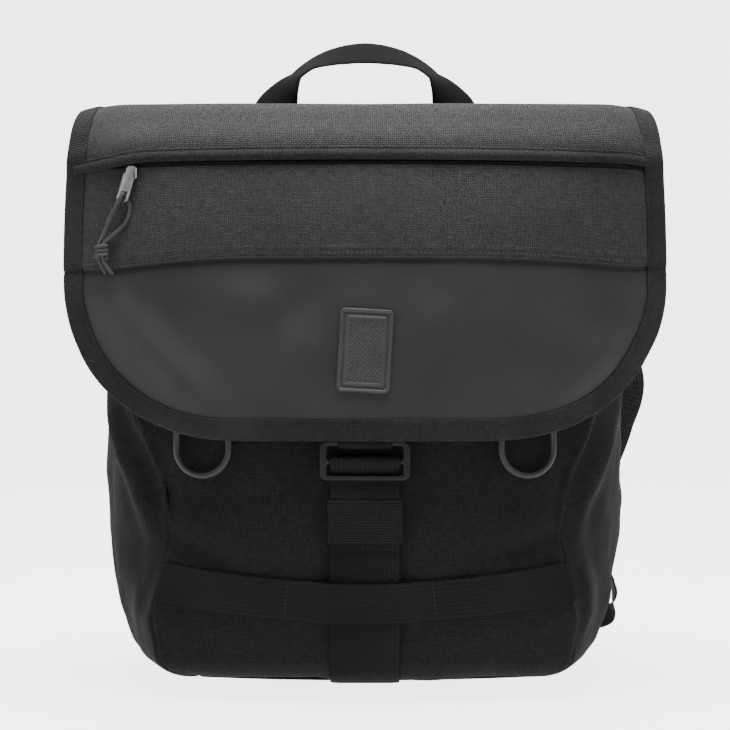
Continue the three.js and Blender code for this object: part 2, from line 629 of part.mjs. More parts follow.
// Slider, its tab and the knotted cord of the pocket's zip.
function zipPull() {
  const across = SLIDER_ACROSS * flapHalf(ZIP_AT);
  const bodyLow = ZIP_TOP + COIL_HEIGHT + GAP;
  const sliderHalf = SLIDER_WIDTH / 2;
  const slider = plate(cutBox(-sliderHalf, sliderHalf, -SLIDER_LENGTH, 0, 2), [], SLIDER_HEIGHT, 0.6);
  const sliderAt = HOOD_AT + SLIDER_LENGTH / 2 + GAP;
  piece("zip_slider", drape(slider, across, sliderAt, 0, bodyLow + SLIDER_HEIGHT / 2), METAL);

  const half = TAB_WIDTH / 2;
  const hole = half / 2;
  const low = TAB_HOLE_EDGE - TAB_LENGTH;
  const tab = plate(
    cutBox(-half, half, -TAB_LENGTH, 0, 2), [box(-hole, hole, low, low + TAB_HOLE)], TAB_THICKNESS, 0);
  const tabAt = sliderAt + SLIDER_LENGTH / 2;
  const tabLow = bodyLow + SLIDER_HEIGHT + GAP + TAB_THICKNESS / 2;
  piece("pull_tab", drape(tab, across, tabAt, TAB_LEAN, tabLow), METAL);

  const reach = TAB_LENGTH - TAB_HOLE_EDGE - TAB_HOLE / 2;
  const lean = radians(TAB_LEAN);
  pullCord(across - reach * Math.sin(lean), tabAt + reach * Math.cos(lean), tabLow + TAB_THICKNESS / 2);
}

// The pull cord, from one tail's end through the tab's hole to the other's. across and down are
// shares of CORD_DROP from the hole, lift runs from the pocket's cloth (0) to over the tab (1).
const CORD_LINE = [
  { across: -0.34, down: 1.36, lift: 0.05 },
  { across: -0.4, down: 1.14, lift: 0.8 },
  { across: -0.4, down: 0.86, lift: 0.8 },
  { across: -0.34, down: 0.68, lift: 0.6 },
  { across: -0.25, down: 0.46, lift: 0.7 },
  { across: -0.1, down: 0.2, lift: 1 },
  { across: -0.02, down: 0.05, lift: 1 },
  { across: 0, down: -0.03, lift: 0.6 },
  { across: 0.02, down: 0.04, lift: 0.1 },
  { across: 0.08, down: 0.2, lift: 0.02 },
  { across: 0.02, down: 0.46, lift: 0.02 },
  { across: -0.2, down: 0.7, lift: 0.4 },
  { across: -0.325, down: 0.86, lift: 0.8 },
  { across: -0.325, down: 1.14, lift: 0.8 },
  { across: -0.22, down: 1.38, lift: 0.05 },
];
const KNOT_PLACE = { across: -0.3625, down: 1, lift: 0.8 };

function pullCord(across, along, tabTop) {
  const low = POCKET_LOW + PANEL_CLOTH + GAP + CORD_DIAMETER / 2;
  const high = tabTop + GAP + CORD_DIAMETER / 2;
  const place = (row) =>
    onFlap(across + row.across * CORD_DROP, along + row.down * CORD_DROP, lerp(low, high, row.lift));
  const curve = new THREE.CatmullRomCurve3(CORD_LINE.map(place));
  const round = new THREE.Shape(roundOutline(CORD_DIAMETER / 2, 8));
  const cord = new THREE.ExtrudeGeometry(round, { steps: 56, bevelEnabled: false, extrudePath: curve });
  piece("pull_cord", cord, TAPE);

  const eye = [CORD_DIAMETER + 2.4 * GAP, CORD_DIAMETER / 2 + 2 * GAP];
  const [w, d] = eye.map((half) => half + KNOT_WALL);
  const hole = box(-eye[0], eye[0], -eye[1], eye[1]);
  const body = plate(cutBox(-w, w, -d, d, KNOT_WALL * 0.8), [hole], KNOT_HEIGHT, 1);
  const above = place({ ...KNOT_PLACE, down: KNOT_PLACE.down - 0.1 });
  const below = place({ ...KNOT_PLACE, down: KNOT_PLACE.down + 0.1 });
  const knot = piece("pull_knot", body, TAPE);
  knot.quaternion.setFromUnitVectors(v3(0, 0, 1), above.sub(below).normalize());
  knot.position.copy(place(KNOT_PLACE));
}

// A strip along a line. frames lists, for each step, the middle, the direction across and the width.
function strip(frames, thickness, crown = 0) {
  return loft(frames.map(({ at, side, width, height = thickness }, i) => {
    const along = frames[Math.min(i + 1, frames.length - 1)].at.clone().sub(frames[Math.max(i - 1, 0)].at);
    const across = side.clone().addScaledVector(along, -side.dot(along) / along.lengthSq()).normalize();
    const up = across.clone().cross(along).normalize();
    const corner = (x, z) => at.clone().addScaledVector(across, (x * width) / 2).addScaledVector(up, z);
    const edge = crown ? crown / 2 : height / 2;
    const middle = crown ? [[0.45, height / 2], [-0.45, height / 2]] : [];
    const top = [[1, edge], ...middle, [-1, edge]];
    return [...top.map(([x, z]) => corner(x, z)), ...top.reverse().map(([x, z]) => corner(x, -z))];
  }));
}

const STRAP_SURFACE = (z) => onFront(0, climbTo(z), 0).y;
const BUCKLE_LAYER = GAP + WEBBING; // what one layer of strap takes up
const BUCKLE_TOP = BUCKLE_FOOT + LOWER_BAR + LOWER_SLOT + CROSSBAR + UPPER_SLOT + TOP_BAR;
const BUCKLE_Y = STRAP_SURFACE(BUCKLE_FOOT) - 2 * BUCKLE_LAYER - GAP - BUCKLE_THICKNESS / 2;
const CROSSBAR_Z = BUCKLE_FOOT + LOWER_BAR + LOWER_SLOT + CROSSBAR / 2;
const KEPT_STRAP = GAP + KEEPER_TAPE + GAP + WEBBING / 2; // strap's middle from the front panel

// The strap from the bottom seam up the front, round the buckle's crossbar and back to its end.
function centreStrap() {
  const near = GAP + WEBBING / 2;
  const kept = steps(KEEPER_FOOT, KEEPER_FOOT + KEEPER_HEIGHT, 4);
  const keptY = Math.min(...kept.map(STRAP_SURFACE)) - KEPT_STRAP;
  const seamClimb = BASE_RADIUS * radians(27);
  const start = steps(seamClimb, climbTo(BASE_RADIUS), 3).map((climb) => onFront(0, climb, near));
  const foot = steps(30, 58, 2).map((z) => v3(0, lerp(STRAP_SURFACE(z) - near, keptY, smooth(z, 17, 58)), z));
  const rise = [v3(0, keptY, KEEPER_FOOT - 3), v3(0, keptY, KEEPER_FOOT + KEEPER_HEIGHT + 2)];
  const turnY = BUCKLE_THICKNESS / 2 + GAP + WEBBING / 2;
  const turnZ = CROSSBAR / 2 + GAP + WEBBING / 2;
  const layer = (z, count) => v3(0, STRAP_SURFACE(z) - near - count * BUCKLE_LAYER, z);
  const turn = [
    v3(0, BUCKLE_Y + turnY, CROSSBAR_Z - 1), v3(0, BUCKLE_Y + turnY, CROSSBAR_Z + turnZ - 1),
    v3(0, BUCKLE_Y + turnY - 1, CROSSBAR_Z + turnZ), v3(0, BUCKLE_Y - turnY + 1, CROSSBAR_Z + turnZ),
    v3(0, BUCKLE_Y - turnY, CROSSBAR_Z + turnZ - 1), v3(0, BUCKLE_Y - turnY, CROSSBAR_Z - 1),
  ];
  const back = [
    layer(BUCKLE_FOOT + LOWER_BAR, 1), layer(BUCKLE_FOOT - 2, 1),
    v3(0, keptY - BUCKLE_LAYER, KEEPER_FOOT + KEEPER_HEIGHT + 1), v3(0, keptY - BUCKLE_LAYER, STRAP_END),
  ];
  const front = [layer(BUCKLE_FOOT - 2, 0), layer(BUCKLE_FOOT + LOWER_BAR, 0)];
  const line = [...start, ...foot, ...rise, ...front, ...turn, ...back];
  const frames = line.map((at) => ({ at, side: v3(1, 0, 0), width: STRAP_WIDTH }));
  piece("centre_strap", strip(frames, WEBBING), STRAPPING);

  const [inner, outer] = [STRAP_WIDTH / 2 + GAP, STRAP_WIDTH / 2 + GAP + KEEPER_TAPE];
  const deep = BUCKLE_LAYER / 2 + WEBBING / 2 + GAP;
  const around = cutBox(-outer, outer, -deep - KEEPER_TAPE, deep + KEEPER_TAPE, 1);
  const keeper = plate(around, [box(-inner, inner, -deep, deep)], KEEPER_HEIGHT, 0);
  keeper.translate(0, keptY - BUCKLE_LAYER / 2, KEEPER_FOOT + KEEPER_HEIGHT / 2);
  piece("strap_keeper", keeper, STRAPPING);
}

// Webbing folded round a bar: its eye is at the origin and its neck runs up. x is its width.
function loopTab(width, barHeight, barThickness, run) {
  const [y, z] = [barThickness / 2 + GAP, barHeight / 2 + GAP];
  const [outY, outZ] = [y + WEBBING, z + WEBBING];
  const neck = outZ + 2 * WEBBING;
  const outline = [
    [WEBBING, run], [-WEBBING, run], [-WEBBING, neck], [-outY, z], [-outY, -z * 0.7],
    [-y * 0.7, -outZ], [y * 0.7, -outZ], [outY, -z * 0.7], [outY, z], [WEBBING, neck],
  ];
  const eye = [
    [y, z], [0, z + WEBBING], [-y, z], [-y, -z * 0.7],
    [-y * 0.7, -z], [y * 0.7, -z], [y, -z * 0.7],
  ];
  return plate(outline, [eye], width, 0).rotateY(Math.PI / 2).rotateX(Math.PI / 2);
}

function buckle() {
  const inner = STRAP_WIDTH / 2 + 2;
  const outer = inner + BUCKLE_WALL;
  const low = BUCKLE_FOOT + LOWER_BAR;
  const high = low + LOWER_SLOT + CROSSBAR;
  const slots = [
    cutBox(-inner, inner, low, low + LOWER_SLOT, 1),
    cutBox(-inner, inner, high, high + UPPER_SLOT, BUCKLE_CORNER / 3),
  ];
  const outline = cutBox(-outer, outer, BUCKLE_FOOT, BUCKLE_TOP, BUCKLE_CORNER);
  const frame = plate(outline, slots, BUCKLE_THICKNESS, 0.6);
  piece("centre_buckle", frame.rotateX(Math.PI / 2), PLASTIC).position.y = BUCKLE_Y;

  const tab = piece("buckle_tab", loopTab(BUCKLE_TAB, TOP_BAR, BUCKLE_THICKNESS, BUCKLE_TAB_RUN), STRAPPING);
  tab.position.set(0, BUCKLE_Y, BUCKLE_TOP - TOP_BAR / 2);
  tab.rotation.x = radians(BUCKLE_TAB_LEAN);
}

// The lash band, sewn in the front seams, over the centre strap.
function lashBand() {
  const over = KEPT_STRAP + WEBBING / 2 + GAP + BAND_SLACK;
  const places = [0, 0.18, 0.28, 0.45, 0.6, 0.75, 0.88, 1 - (2 * CLOTH) / BACK_WIDTH];
  const across = [...places.slice(1).map((a) => -a).reverse(), ...places];
  const surface = (a, share) => {
    const foot = BAND_FOOT - BAND_SAG * (1 - a * a);
    return frontPanel(a, climbTo(foot + share * BAND_HEIGHT));
  };
  const low = (a) => 2 * GAP + (over - 2 * GAP) * (1 - smooth(Math.abs(a), 0.17, 0.3));
  const high = (a) => low(a) + WEBBING;
  piece("lash_band", cloth(surface, steps(0, 1, 2), () => across, low, high, [0.01, 0.02]), STRAPPING);
}

// The half round below a ring's straight legs.
const ringBow = (radius, low) =>
  steps(0, Math.PI, 10).map((a) => [radius * Math.cos(a), -low - radius * Math.sin(a)]);

// D-rings, each in the eye of a webbing tab that is sewn on the front panel.
function dRings() {
  const bar = RING_WIRE / 2;
  const outer = RING_INSIDE / 2 + RING_WIRE;
  const bowTop = bar + RING_LEG;
  const cut = RING_WIRE / 3;
  const outline = [
    [-outer, bar - cut], [-outer + cut, bar], [outer - cut, bar], [outer, bar - cut],
    ...ringBow(outer, bowTop + RING_WIRE / 12),
  ].reverse();
  const inside = [[-RING_INSIDE / 2, -bar], [RING_INSIDE / 2, -bar], ...ringBow(RING_INSIDE / 2, bowTop)];
  const eye = RING_WIRE * RING_TURN;
  const climb = climbTo(RING_BAR_HEIGHT);
  for (const [name, hand] of [["left", -1], ["right", 1]]) {
    const share = (hand * RING_ACROSS) / section(climb).seamX;
    const standOff = eye / 2 + 2 * GAP + WEBBING;
    const at = onFront(share, climb, standOff);
    const out = at.clone().sub(onFront(share, climb, 0));
    const facing = Math.atan2(out.x, -out.y);
    const moulding = plate(outline, [inside], RING_WIRE, 0.5).rotateX(Math.PI / 2);
    const ring = piece(`d_ring_${name}`, moulding, PLASTIC);
    const tab = piece(`ring_tab_${name}`, loopTab(RING_TAB, eye, eye, TAB_RUN), STRAPPING);
    for (const mesh of [ring, tab]) {
      mesh.position.copy(at);
      mesh.rotation.set(0, 0, facing);
    }
    tab.rotation.x = -radians(RING_TAB_LEAN);
  }
}

// Half of the grab handle's line. across: share of half HANDLE_SPAN, up: share of its height,
// twist: quarter turns that its outer edge leans back.
const HANDLE_LINE = [
  { across: 1, up: 0, twist: 0 },
  { across: 1, up: 0.3, twist: 0 },
  { across: 0.985, up: 0.46, twist: 0 },
  { across: 0.95, up: 0.56, twist: 0.06 },
  { across: 0.89, up: 0.66, twist: 0.25 },
  { across: 0.8, up: 0.77, twist: 0.55 },
  { across: 0.7, up: 0.85, twist: 0.78 },
  { across: 0.56, up: 0.92, twist: 0.76 },
  { across: 0.38, up: 0.965, twist: 0.67 },
  { across: 0.19, up: 0.99, twist: 0.61 },
  { across: 0, up: 1, twist: 0.59 },
];

const YOKE_FACE = BACK_FACE + GAP + YOKE_THICKNESS;

function grabHandle() {
  const y = YOKE_FACE + GAP + HANDLE_WEBBING / 2;
  const half = (hand) => HANDLE_LINE.map((row) => ({ ...row, across: hand * row.across }));
  const rows = [...half(-1), ...half(1).reverse().slice(1)];
  const places = rows.map((row) =>
    v3((row.across * HANDLE_SPAN) / 2, y, lerp(HANDLE_FOOT, HANDLE_TOP, row.up)));
  const frames = places.map((at, i) => {
    const [before, after] = [places[Math.max(i - 1, 0)], places[Math.min(i + 1, places.length - 1)]];
    const along = after.clone().sub(before).normalize();
    const outwards = v3(-along.z, 0, along.x);
    const lean = (rows[i].twist * Math.PI) / 2;
    const side = outwards.multiplyScalar(Math.cos(lean)).add(v3(0, Math.sin(lean), 0));
    return { at, side, width: HANDLE_WIDTH };
  });
  piece("grab_handle", strip(frames, HANDLE_WEBBING), STRAPPING);
}

function yoke() {
  const top = FLAP_FOOT - GAP;
  const half = YOKE_WIDTH / 2;
  const slab = plate(cutBox(-half, half, top - YOKE_HEIGHT, top, YOKE_THICKNESS), [], YOKE_THICKNESS, 1);
  piece("back_yoke", slab.rotateX(Math.PI / 2), CLOTH_DARK).position.y = YOKE_FACE - YOKE_THICKNESS / 2;
}

// Line of a shoulder pad from the yoke down. down: share of PAD_DROP, out: share of its spread,
// off: share of its bow off the back, width: share of PAD_WIDTH beyond PAD_END_WIDTH.
const PAD_LINE = [
  { at: 0, down: 0, out: 0, off: 0.13, width: 0.35 },
  { at: 1, down: 0.09, out: 0.04, off: 0.45, width: 0.8 },
  { at: 2, down: 0.25, out: 0.28, off: 0.9, width: 1 },
  { at: 3, down: 0.38, out: 0.7, off: 1, width: 1 },
  { at: 4, down: 0.53, out: 1, off: 0.95, width: 1 },
  { at: 5, down: 0.7, out: 0.96, off: 0.85, width: 0.85 },
  { at: 6, down: 0.86, out: 0.89, off: 0.7, width: 0.5 },
  { at: 7, down: 1, out: 0.85, off: 0.58, width: 0 },
];

// Line of the lower webbing from the adjuster to the anchor. out: share of the webbing's bow beyond
// the anchor's middle, up and off: shares of the adjuster's height over the anchor and distance from
// the back, turn: 0 in the pad's plane, 1 edge-on to the front, 2 flat on the anchor.
const LOWER_LINE = [
  { out: 0.8, up: 0.66, off: 0.82, turn: 0.6 },
  { out: 1, up: 0.42, off: 0.64, turn: 1 },
  { out: 1, up: 0.2, off: 0.46, turn: 1.3 },
  { out: 0.88, up: 0.04, off: 0.36, turn: 1.8 },
];

const STRAPS = [
  { name: "left", hand: -1, spread: LEFT_SPREAD, bow: LEFT_BOW, lowerBow: LEFT_LOWER_BOW },
  { name: "right", hand: 1, spread: RIGHT_SPREAD, bow: RIGHT_BOW, lowerBow: RIGHT_LOWER_BOW },
];

function padFrames({ hand, spread, bow }) {
  const top = FLAP_FOOT - 2 * GAP - YOKE_HEIGHT;
  const place = (at) => v3(
    hand * (PAD_SPACING / 2 + column(PAD_LINE, "out", at) * spread),
    BACK_FACE + column(PAD_LINE, "off", at) * bow,
    top - GAP - column(PAD_LINE, "down", at) * PAD_DROP);
  return steps(0, PAD_LINE.length - 1, 14).map((at) => {
    const along = place(at + 0.05).sub(place(at - 0.05)).normalize();
    const width = lerp(PAD_END_WIDTH, PAD_WIDTH, column(PAD_LINE, "width", at));
    const thin = Math.min(smooth(at, -0.5, 1), 1 - smooth(at, 6, 7.4));
    const height = lerp(PAD_EDGE, PAD_THICKNESS, thin);
    return { at: place(at), along, side: along.clone().cross(v3(0, 1, 0)), width, height };
  });
}

function shoulderStrap(strap) {
  const { name, hand, lowerBow } = strap;
  const frames = padFrames(strap);
  piece(`shoulder_pad_${name}`, strip(frames, PAD_THICKNESS, PAD_EDGE), PADDING);

  // The adjuster's own frame: x across, y back up to the pad, z away from the bag.
  const { at, along, side } = frames[frames.length - 1];
  const up = along.clone().negate();
  const across = side.clone().normalize();
  const out = across.clone().cross(up);
  if (out.y < 0) {
    across.negate();
    out.negate();
  }
  const basis = new THREE.Matrix4().makeBasis(across, up, out);
  const pitch = ADJUSTER_SLOT + ADJUSTER_BAR;
  const middle = at.clone().addScaledVector(along, LOOP_RUN + pitch + GAP);
  basis.setPosition(middle);
  const local = (x, y, z) => v3(x, y, z).applyMatrix4(basis);

  const inner = LOWER_WEBBING / 2 + 2 * GAP;
  const outer = inner + ADJUSTER_WALL;
  const reach = pitch + ADJUSTER_BAR / 2;
  const slots = [1, -1].map((way) => box(
    -inner, inner, (way * pitch) / 2 - ADJUSTER_SLOT / 2, (way * pitch) / 2 + ADJUSTER_SLOT / 2));
  const outline = cutBox(-outer, outer, -reach, reach, ADJUSTER_WALL / 2);
  const frame = plate(outline, slots, ADJUSTER_THICKNESS, 0.5);
  piece(`strap_adjuster_${name}`, frame.applyMatrix4(basis), PLASTIC);
  const loop = loopTab(LOWER_WEBBING, ADJUSTER_BAR, ADJUSTER_THICKNESS, LOOP_RUN).rotateX(-Math.PI / 2);
  piece(`pad_loop_${name}`, loop.translate(0, pitch, 0).applyMatrix4(basis), STRAPPING);

  const turn = ADJUSTER_THICKNESS / 2 + GAP + WEBBING / 2;
  const tail = [
    local(0, -TAIL_LENGTH, turn + 7), local(0, -TAIL_LENGTH / 2, turn + 3), local(0, -reach, turn),
    local(0, 0, turn), local(0, turn - 1, turn), local(0, turn, turn - 1),
    local(0, turn, 1 - turn), local(0, turn - 1, -turn), local(0, 0, -turn), local(0, -reach, -turn),
    local(0, -reach - 11, -turn - 2),
  ];
  const anchorY = ANCHOR_FACE + GAP + WEBBING / 2;
  const anchor = v3(hand * ANCHOR_ACROSS, anchorY, ANCHOR_FOOT + ANCHOR_HEIGHT / 2);
  const start = local(0, -reach, -turn);
  const lower = LOWER_LINE.map((row) => v3(
    anchor.x + hand * lowerBow * row.out,
    lerp(anchor.y, start.y, row.off),
    lerp(anchor.z, start.z, row.up)));
  const sideAt = (amount) => {
    const [edgeOn, flat] = [v3(0, hand, 0), v3(0, 0, -hand)];
    return amount < 1 ? across.clone().lerp(edgeOn, amount) : edgeOn.lerp(flat, amount - 1);
  };
  const sewn = [0.35, -0.3].map((share) => anchor.clone().add(v3(hand * ANCHOR_WIDTH * share, 0, 0)));
  const line = [
    ...tail.map((point) => [point, 0]),
    ...lower.map((point, i) => [point, LOWER_LINE[i].turn]),
    ...sewn.map((point) => [point, 2]),
  ];
  const webbing = line.map(([point, amount]) => ({ at: point, side: sideAt(amount), width: LOWER_WEBBING }));
  piece(`strap_webbing_${name}`, strip(webbing, WEBBING), STRAPPING);

  const half = ANCHOR_WIDTH / 2;
  const cut = cutBox(-half, half, 0, ANCHOR_HEIGHT, ANCHOR_HEIGHT / 4);
  const patch = plate(cut, [], ANCHOR_THICKNESS, 0.4).rotateX(Math.PI / 2);
  patch.translate(hand * ANCHOR_ACROSS, ANCHOR_FACE - ANCHOR_THICKNESS / 2, ANCHOR_FOOT);
  piece(`strap_anchor_${name}`, patch, STRAPPING);
}

body();
flap();
zip();
binding();
label();
zipPull();
centreStrap();
buckle();
lashBand();
dRings();
grabHandle();
yoke();
STRAPS.forEach(shoulderStrap);

export default bag;
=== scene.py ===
import math
import bpy
import numpy as np
from mathutils import Matrix, Vector


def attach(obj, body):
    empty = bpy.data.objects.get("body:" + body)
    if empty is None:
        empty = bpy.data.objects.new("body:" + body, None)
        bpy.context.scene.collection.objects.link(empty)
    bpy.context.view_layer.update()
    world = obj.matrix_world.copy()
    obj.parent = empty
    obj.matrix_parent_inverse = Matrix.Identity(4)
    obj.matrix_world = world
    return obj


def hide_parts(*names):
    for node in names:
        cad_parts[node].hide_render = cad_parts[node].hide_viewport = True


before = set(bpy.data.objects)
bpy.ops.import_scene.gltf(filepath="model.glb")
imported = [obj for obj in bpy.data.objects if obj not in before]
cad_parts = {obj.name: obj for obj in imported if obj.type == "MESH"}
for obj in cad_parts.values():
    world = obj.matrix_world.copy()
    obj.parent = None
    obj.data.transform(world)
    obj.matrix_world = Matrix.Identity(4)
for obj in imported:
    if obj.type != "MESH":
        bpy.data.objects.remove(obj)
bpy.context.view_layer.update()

# Sizes in millimetres, the same as the frame's
BODY_HEIGHT = 400
BACK_WIDTH = 416
BODY_DEPTH = 150
GAP = 0.38
BASE_RADIUS = 17
MOUTH_DROP = 16
BACK_PAD = 10
FLAP_WIDTH = 434
FLAP_BACK_WIDTH = 400
FLAP_RISE = 24
FLAP_DROP = 246
FLAP_REACH = 196
FLAP_WRAP = 36
WRAP_LEAD = 40
FLAP_DROOP = 5
DROOP_BAND = 36
HEM_CORNER_WIDTH = 128
HEM_CORNER_HEIGHT = 121
HEM_CORNER_POWER = 2.2
BACK_ROLL = 19
FRONT_ROLL = 54
BACK_LAP = 12
FLAP_CLOTH = 1.6
PANEL_CLOTH = 1.3
BINDING_WIDTH = 14
BINDING_TAPE = 1
HOOD_DROP = 47
SEAM_DROP = 124
HOOD_WIDTH = 9
HOOD_LIFT = 5.3
ZIP_WIDTH = 24
COIL_WIDTH = 5
COIL_HEIGHT = 1.3
SLIDER_ACROSS = -0.77
SLIDER_LENGTH = 11
SLIDER_HEIGHT = 4.5
TAB_LENGTH = 22
TAB_THICKNESS = 1.6
TAB_LEAN = 15
TAB_HOLE = 5
TAB_HOLE_EDGE = 3
CORD_DIAMETER = 2.6
CORD_DROP = 41
LABEL_WIDTH = 38
LABEL_HEIGHT = 59
LABEL_LEAN = 3.2
LABEL_RISE = 62
STRAP_WIDTH = 50
WEBBING = 1.6
BUCKLE_WALL = 5
BUCKLE_THICKNESS = 4.4
BUCKLE_CORNER = 5
TOP_BAR = 4
UPPER_SLOT = 9.6
CROSSBAR = 3.2
LOWER_SLOT = 8.2
LOWER_BAR = 3.4
BUCKLE_FOOT = 148.5
BUCKLE_TAB = 38
BUCKLE_TAB_RUN = 34
BUCKLE_TAB_LEAN = 2.5
STRAP_END = 99
KEEPER_HEIGHT = 31
KEEPER_FOOT = 104
KEEPER_TAPE = 1.3
BAND_HEIGHT = 28
BAND_FOOT = 60
BAND_SAG = 12
BAND_SLACK = 2.9
RING_INSIDE = 34
RING_WIRE = 4.8
RING_LEG = 12.5
RING_ACROSS = 115
RING_BAR_HEIGHT = 185.5
RING_TAB = 32
TAB_RUN = 26
RING_TAB_LEAN = 3
RING_TURN = 1.32
HANDLE_WIDTH = 38
HANDLE_WEBBING = 2.4
HANDLE_SPAN = 163
HANDLE_TOP = 489
HANDLE_FOOT = 362
YOKE_WIDTH = 300
YOKE_HEIGHT = 40
YOKE_THICKNESS = 4.6
PAD_WIDTH = 62
PAD_END_WIDTH = 36
PAD_THICKNESS = 10
PAD_EDGE = 3.2
PAD_SPACING = 116
PAD_DROP = 232
LOWER_WEBBING = 25
LOOP_RUN = 14
ADJUSTER_WALL = 3.6
ADJUSTER_SLOT = 6.4
ADJUSTER_THICKNESS = 3.2
ADJUSTER_BAR = 3.2
ANCHOR_WIDTH = 46
ANCHOR_HEIGHT = 42
ANCHOR_FOOT = 2
ANCHOR_ACROSS = 158
ANCHOR_THICKNESS = 2.4
TAIL_LENGTH = 62

BACK_Y = BODY_DEPTH / 2
BACK_FACE = BACK_Y + BACK_PAD
HALF_BACK = BACK_WIDTH / 2
FLAP_TOP = BODY_HEIGHT + FLAP_RISE
BINDING_SKIN = FLAP_CLOTH / 2 + GAP + BINDING_TAPE
PANEL_LOW = FLAP_CLOTH / 2 + GAP
ZIP_TOP = PANEL_LOW + BINDING_TAPE
POCKET_LOW = ZIP_TOP + GAP
LABEL_DROP = FLAP_DROP - LABEL_RISE
MM = 0.001

# Degrees that the flap turns through, from the back to the hem
BACK_TURN = 80
TOP_TURN = 17
FRONT_TURN = 66
POCKET_TURN = 13
HEM_TURN = 7

# The body's sections from its foot up, as shares of its height, width and depth

SECTIONS = [
    dict(at=0, seam=0.765, front=0.965, bulge=0.085, side=0.03, back=0.9),
    dict(at=0.075, seam=0.755, front=0.995, bulge=0.11, side=0.06, back=0.925),
    dict(at=0.15, seam=0.737, front=1.005, bulge=0.125, side=0.085, back=0.955),
    dict(at=0.24, seam=0.695, front=0.985, bulge=0.15, side=0.09, back=0.995),
    dict(at=0.35, seam=0.722, front=0.965, bulge=0.165, side=0.085, back=1.005),
    dict(at=0.47, seam=0.805, front=0.945, bulge=0.17, side=0.065, back=1),
    dict(at=0.62, seam=0.87, front=0.92, bulge=0.165, side=0.045, back=1),
    dict(at=0.8, seam=0.91, front=0.88, bulge=0.14, side=0.035, back=0.99),
    dict(at=1, seam=0.925, front=0.83, bulge=0.1, side=0.03, back=0.97),
]


# Small helpers
def smooth(x, low, high):
    t = np.clip((np.asarray(x, float) - low) / (high - low), 0, 1)
    return t * t * (3 - 2 * t)


def lerp(a, b, t):
    return a + (b - a) * t


def unit(v):
    return v / np.maximum(np.linalg.norm(v, axis=-1, keepdims=True), 1e-9)


def points(x, y, z):
    return np.stack(np.broadcast_arrays(x, y, z), axis=-1).astype(float)


def column(table, key, at):
    """Smooth value of one column of a table of rows with an `at` column."""
    places = np.array([row["at"] for row in table], float)
    values = np.array([row[key] for row in table], float)
    last = len(table) - 1
    x = np.clip(at, places[0], places[-1])
    i = np.clip(np.searchsorted(places, x, side="left") - 1, 0, last - 1)
    before, after = np.maximum(np.arange(last + 1) - 1, 0), np.minimum(np.arange(last + 1) + 1, last)
    slopes = (values[after] - values[before]) / (places[after] - places[before])
    span = places[i + 1] - places[i]
    s = (x - places[i]) / span
    rise = values[i + 1] - values[i]
    m0, m1 = slopes[i] * span, slopes[i + 1] * span
    return values[i] + s * m0 + s**2 * (3 * rise - 2 * m0 - m1) + s**3 * (m0 + m1 - 2 * rise)


LUMPS = 64


def unevenness(u, v, size, seed):
    """Soft seeded unevenness of cloth between -1 and 1, with lumps of about a size in millimetres."""
    u, v = np.broadcast_arrays(np.asarray(u, float) / size, np.asarray(v, float) / size)
    grid = np.random.default_rng(seed).uniform(-1, 1, (LUMPS, LUMPS))
    iu, iv = np.floor(u).astype(int), np.floor(v).astype(int)
    fu, fv = smooth(u - iu, 0, 1), smooth(v - iv, 0, 1)

    def corner(a, b):
        return grid[(iu + a) % LUMPS, (iv + b) % LUMPS]

    low = lerp(corner(0, 0), corner(1, 0), fu)
    high = lerp(corner(0, 1), corner(1, 1), fu)
    return lerp(low, high, fv)


def folds(rows, u, v):
    """Height of soft folds. Each row: start, end, width and depth in millimetres on the cloth."""
    total = np.zeros(np.broadcast(u, v).shape)
    for x0, y0, x1, y1, width, depth in rows:
        dx, dy = x1 - x0, y1 - y0
        share = ((u - x0) * dx + (v - y0) * dy) / (dx * dx + dy * dy)
        near = np.clip(share, 0, 1)
        off = np.hypot(u - x0 - near * dx, v - y0 - near * dy) / width
        ends = np.clip(1 - np.abs(share - 0.5) * 0.9, 0.15, 1)
        total = total + depth * ends * np.exp(-off * off)
    return total


# Surfaces of the body
CORNER_RISE = 38
CORNER_PULL = 18
CORNER_EASE = 4


def corner_round(z):
    """How far the front panel's lower corners are drawn in, in front view."""
    below = np.clip(1 - z / CORNER_RISE, 0, 1)
    rounding = CORNER_PULL * (1 - np.sqrt(1 - 0.99 * below**2))
    return rounding + CORNER_EASE * (1 - smooth(z, CORNER_RISE - 10, CORNER_RISE + 10))


def section(climb):
    """Places of the body's seams at a distance up its cloth from the middle of the base's edge."""
    climb = np.asarray(climb, float)
    bend = math.pi / 2
    angle = np.clip(climb / BASE_RADIUS, 0, bend)
    inset = BASE_RADIUS * (1 - np.sin(angle))
    z = BASE_RADIUS * (1 - np.cos(angle)) + np.maximum(climb - BASE_RADIUS * bend, 0)
    at = z / BODY_HEIGHT
    return dict(
        z=z,
        seam_x=column(SECTIONS, "seam", at) * HALF_BACK - inset - corner_round(z),
        seam_y=BACK_Y - column(SECTIONS, "front", at) * BODY_DEPTH + inset,
        bulge=column(SECTIONS, "bulge", at) * BODY_DEPTH,
        side=column(SECTIONS, "side", at) * BODY_DEPTH,
        back_x=column(SECTIONS, "back", at) * HALF_BACK - inset,
    )


def climb_to(z):
    """Distance up the cloth to a height above the base's rounding."""
    return z - BASE_RADIUS + BASE_RADIUS * math.pi / 2


def front_panel(across, climb):
    """The front panel, from -1 to 1 across."""
    s = section(climb)
    return points(across * s["seam_x"], s["seam_y"] - s["bulge"] * (1 - across**2), s["z"])


SIDE_FOLDS = [
    dict(across=0.1, up=0.5, to_across=0.02, to_up=0.26, width=0.07, depth=-0.035),
    dict(across=0.34, up=0.52, to_across=0.1, to_up=0.28, width=0.09, depth=0.04),
    dict(across=0.3, up=0.2, to_across=0.5, to_up=0.05, width=0.13, depth=-0.035),
]


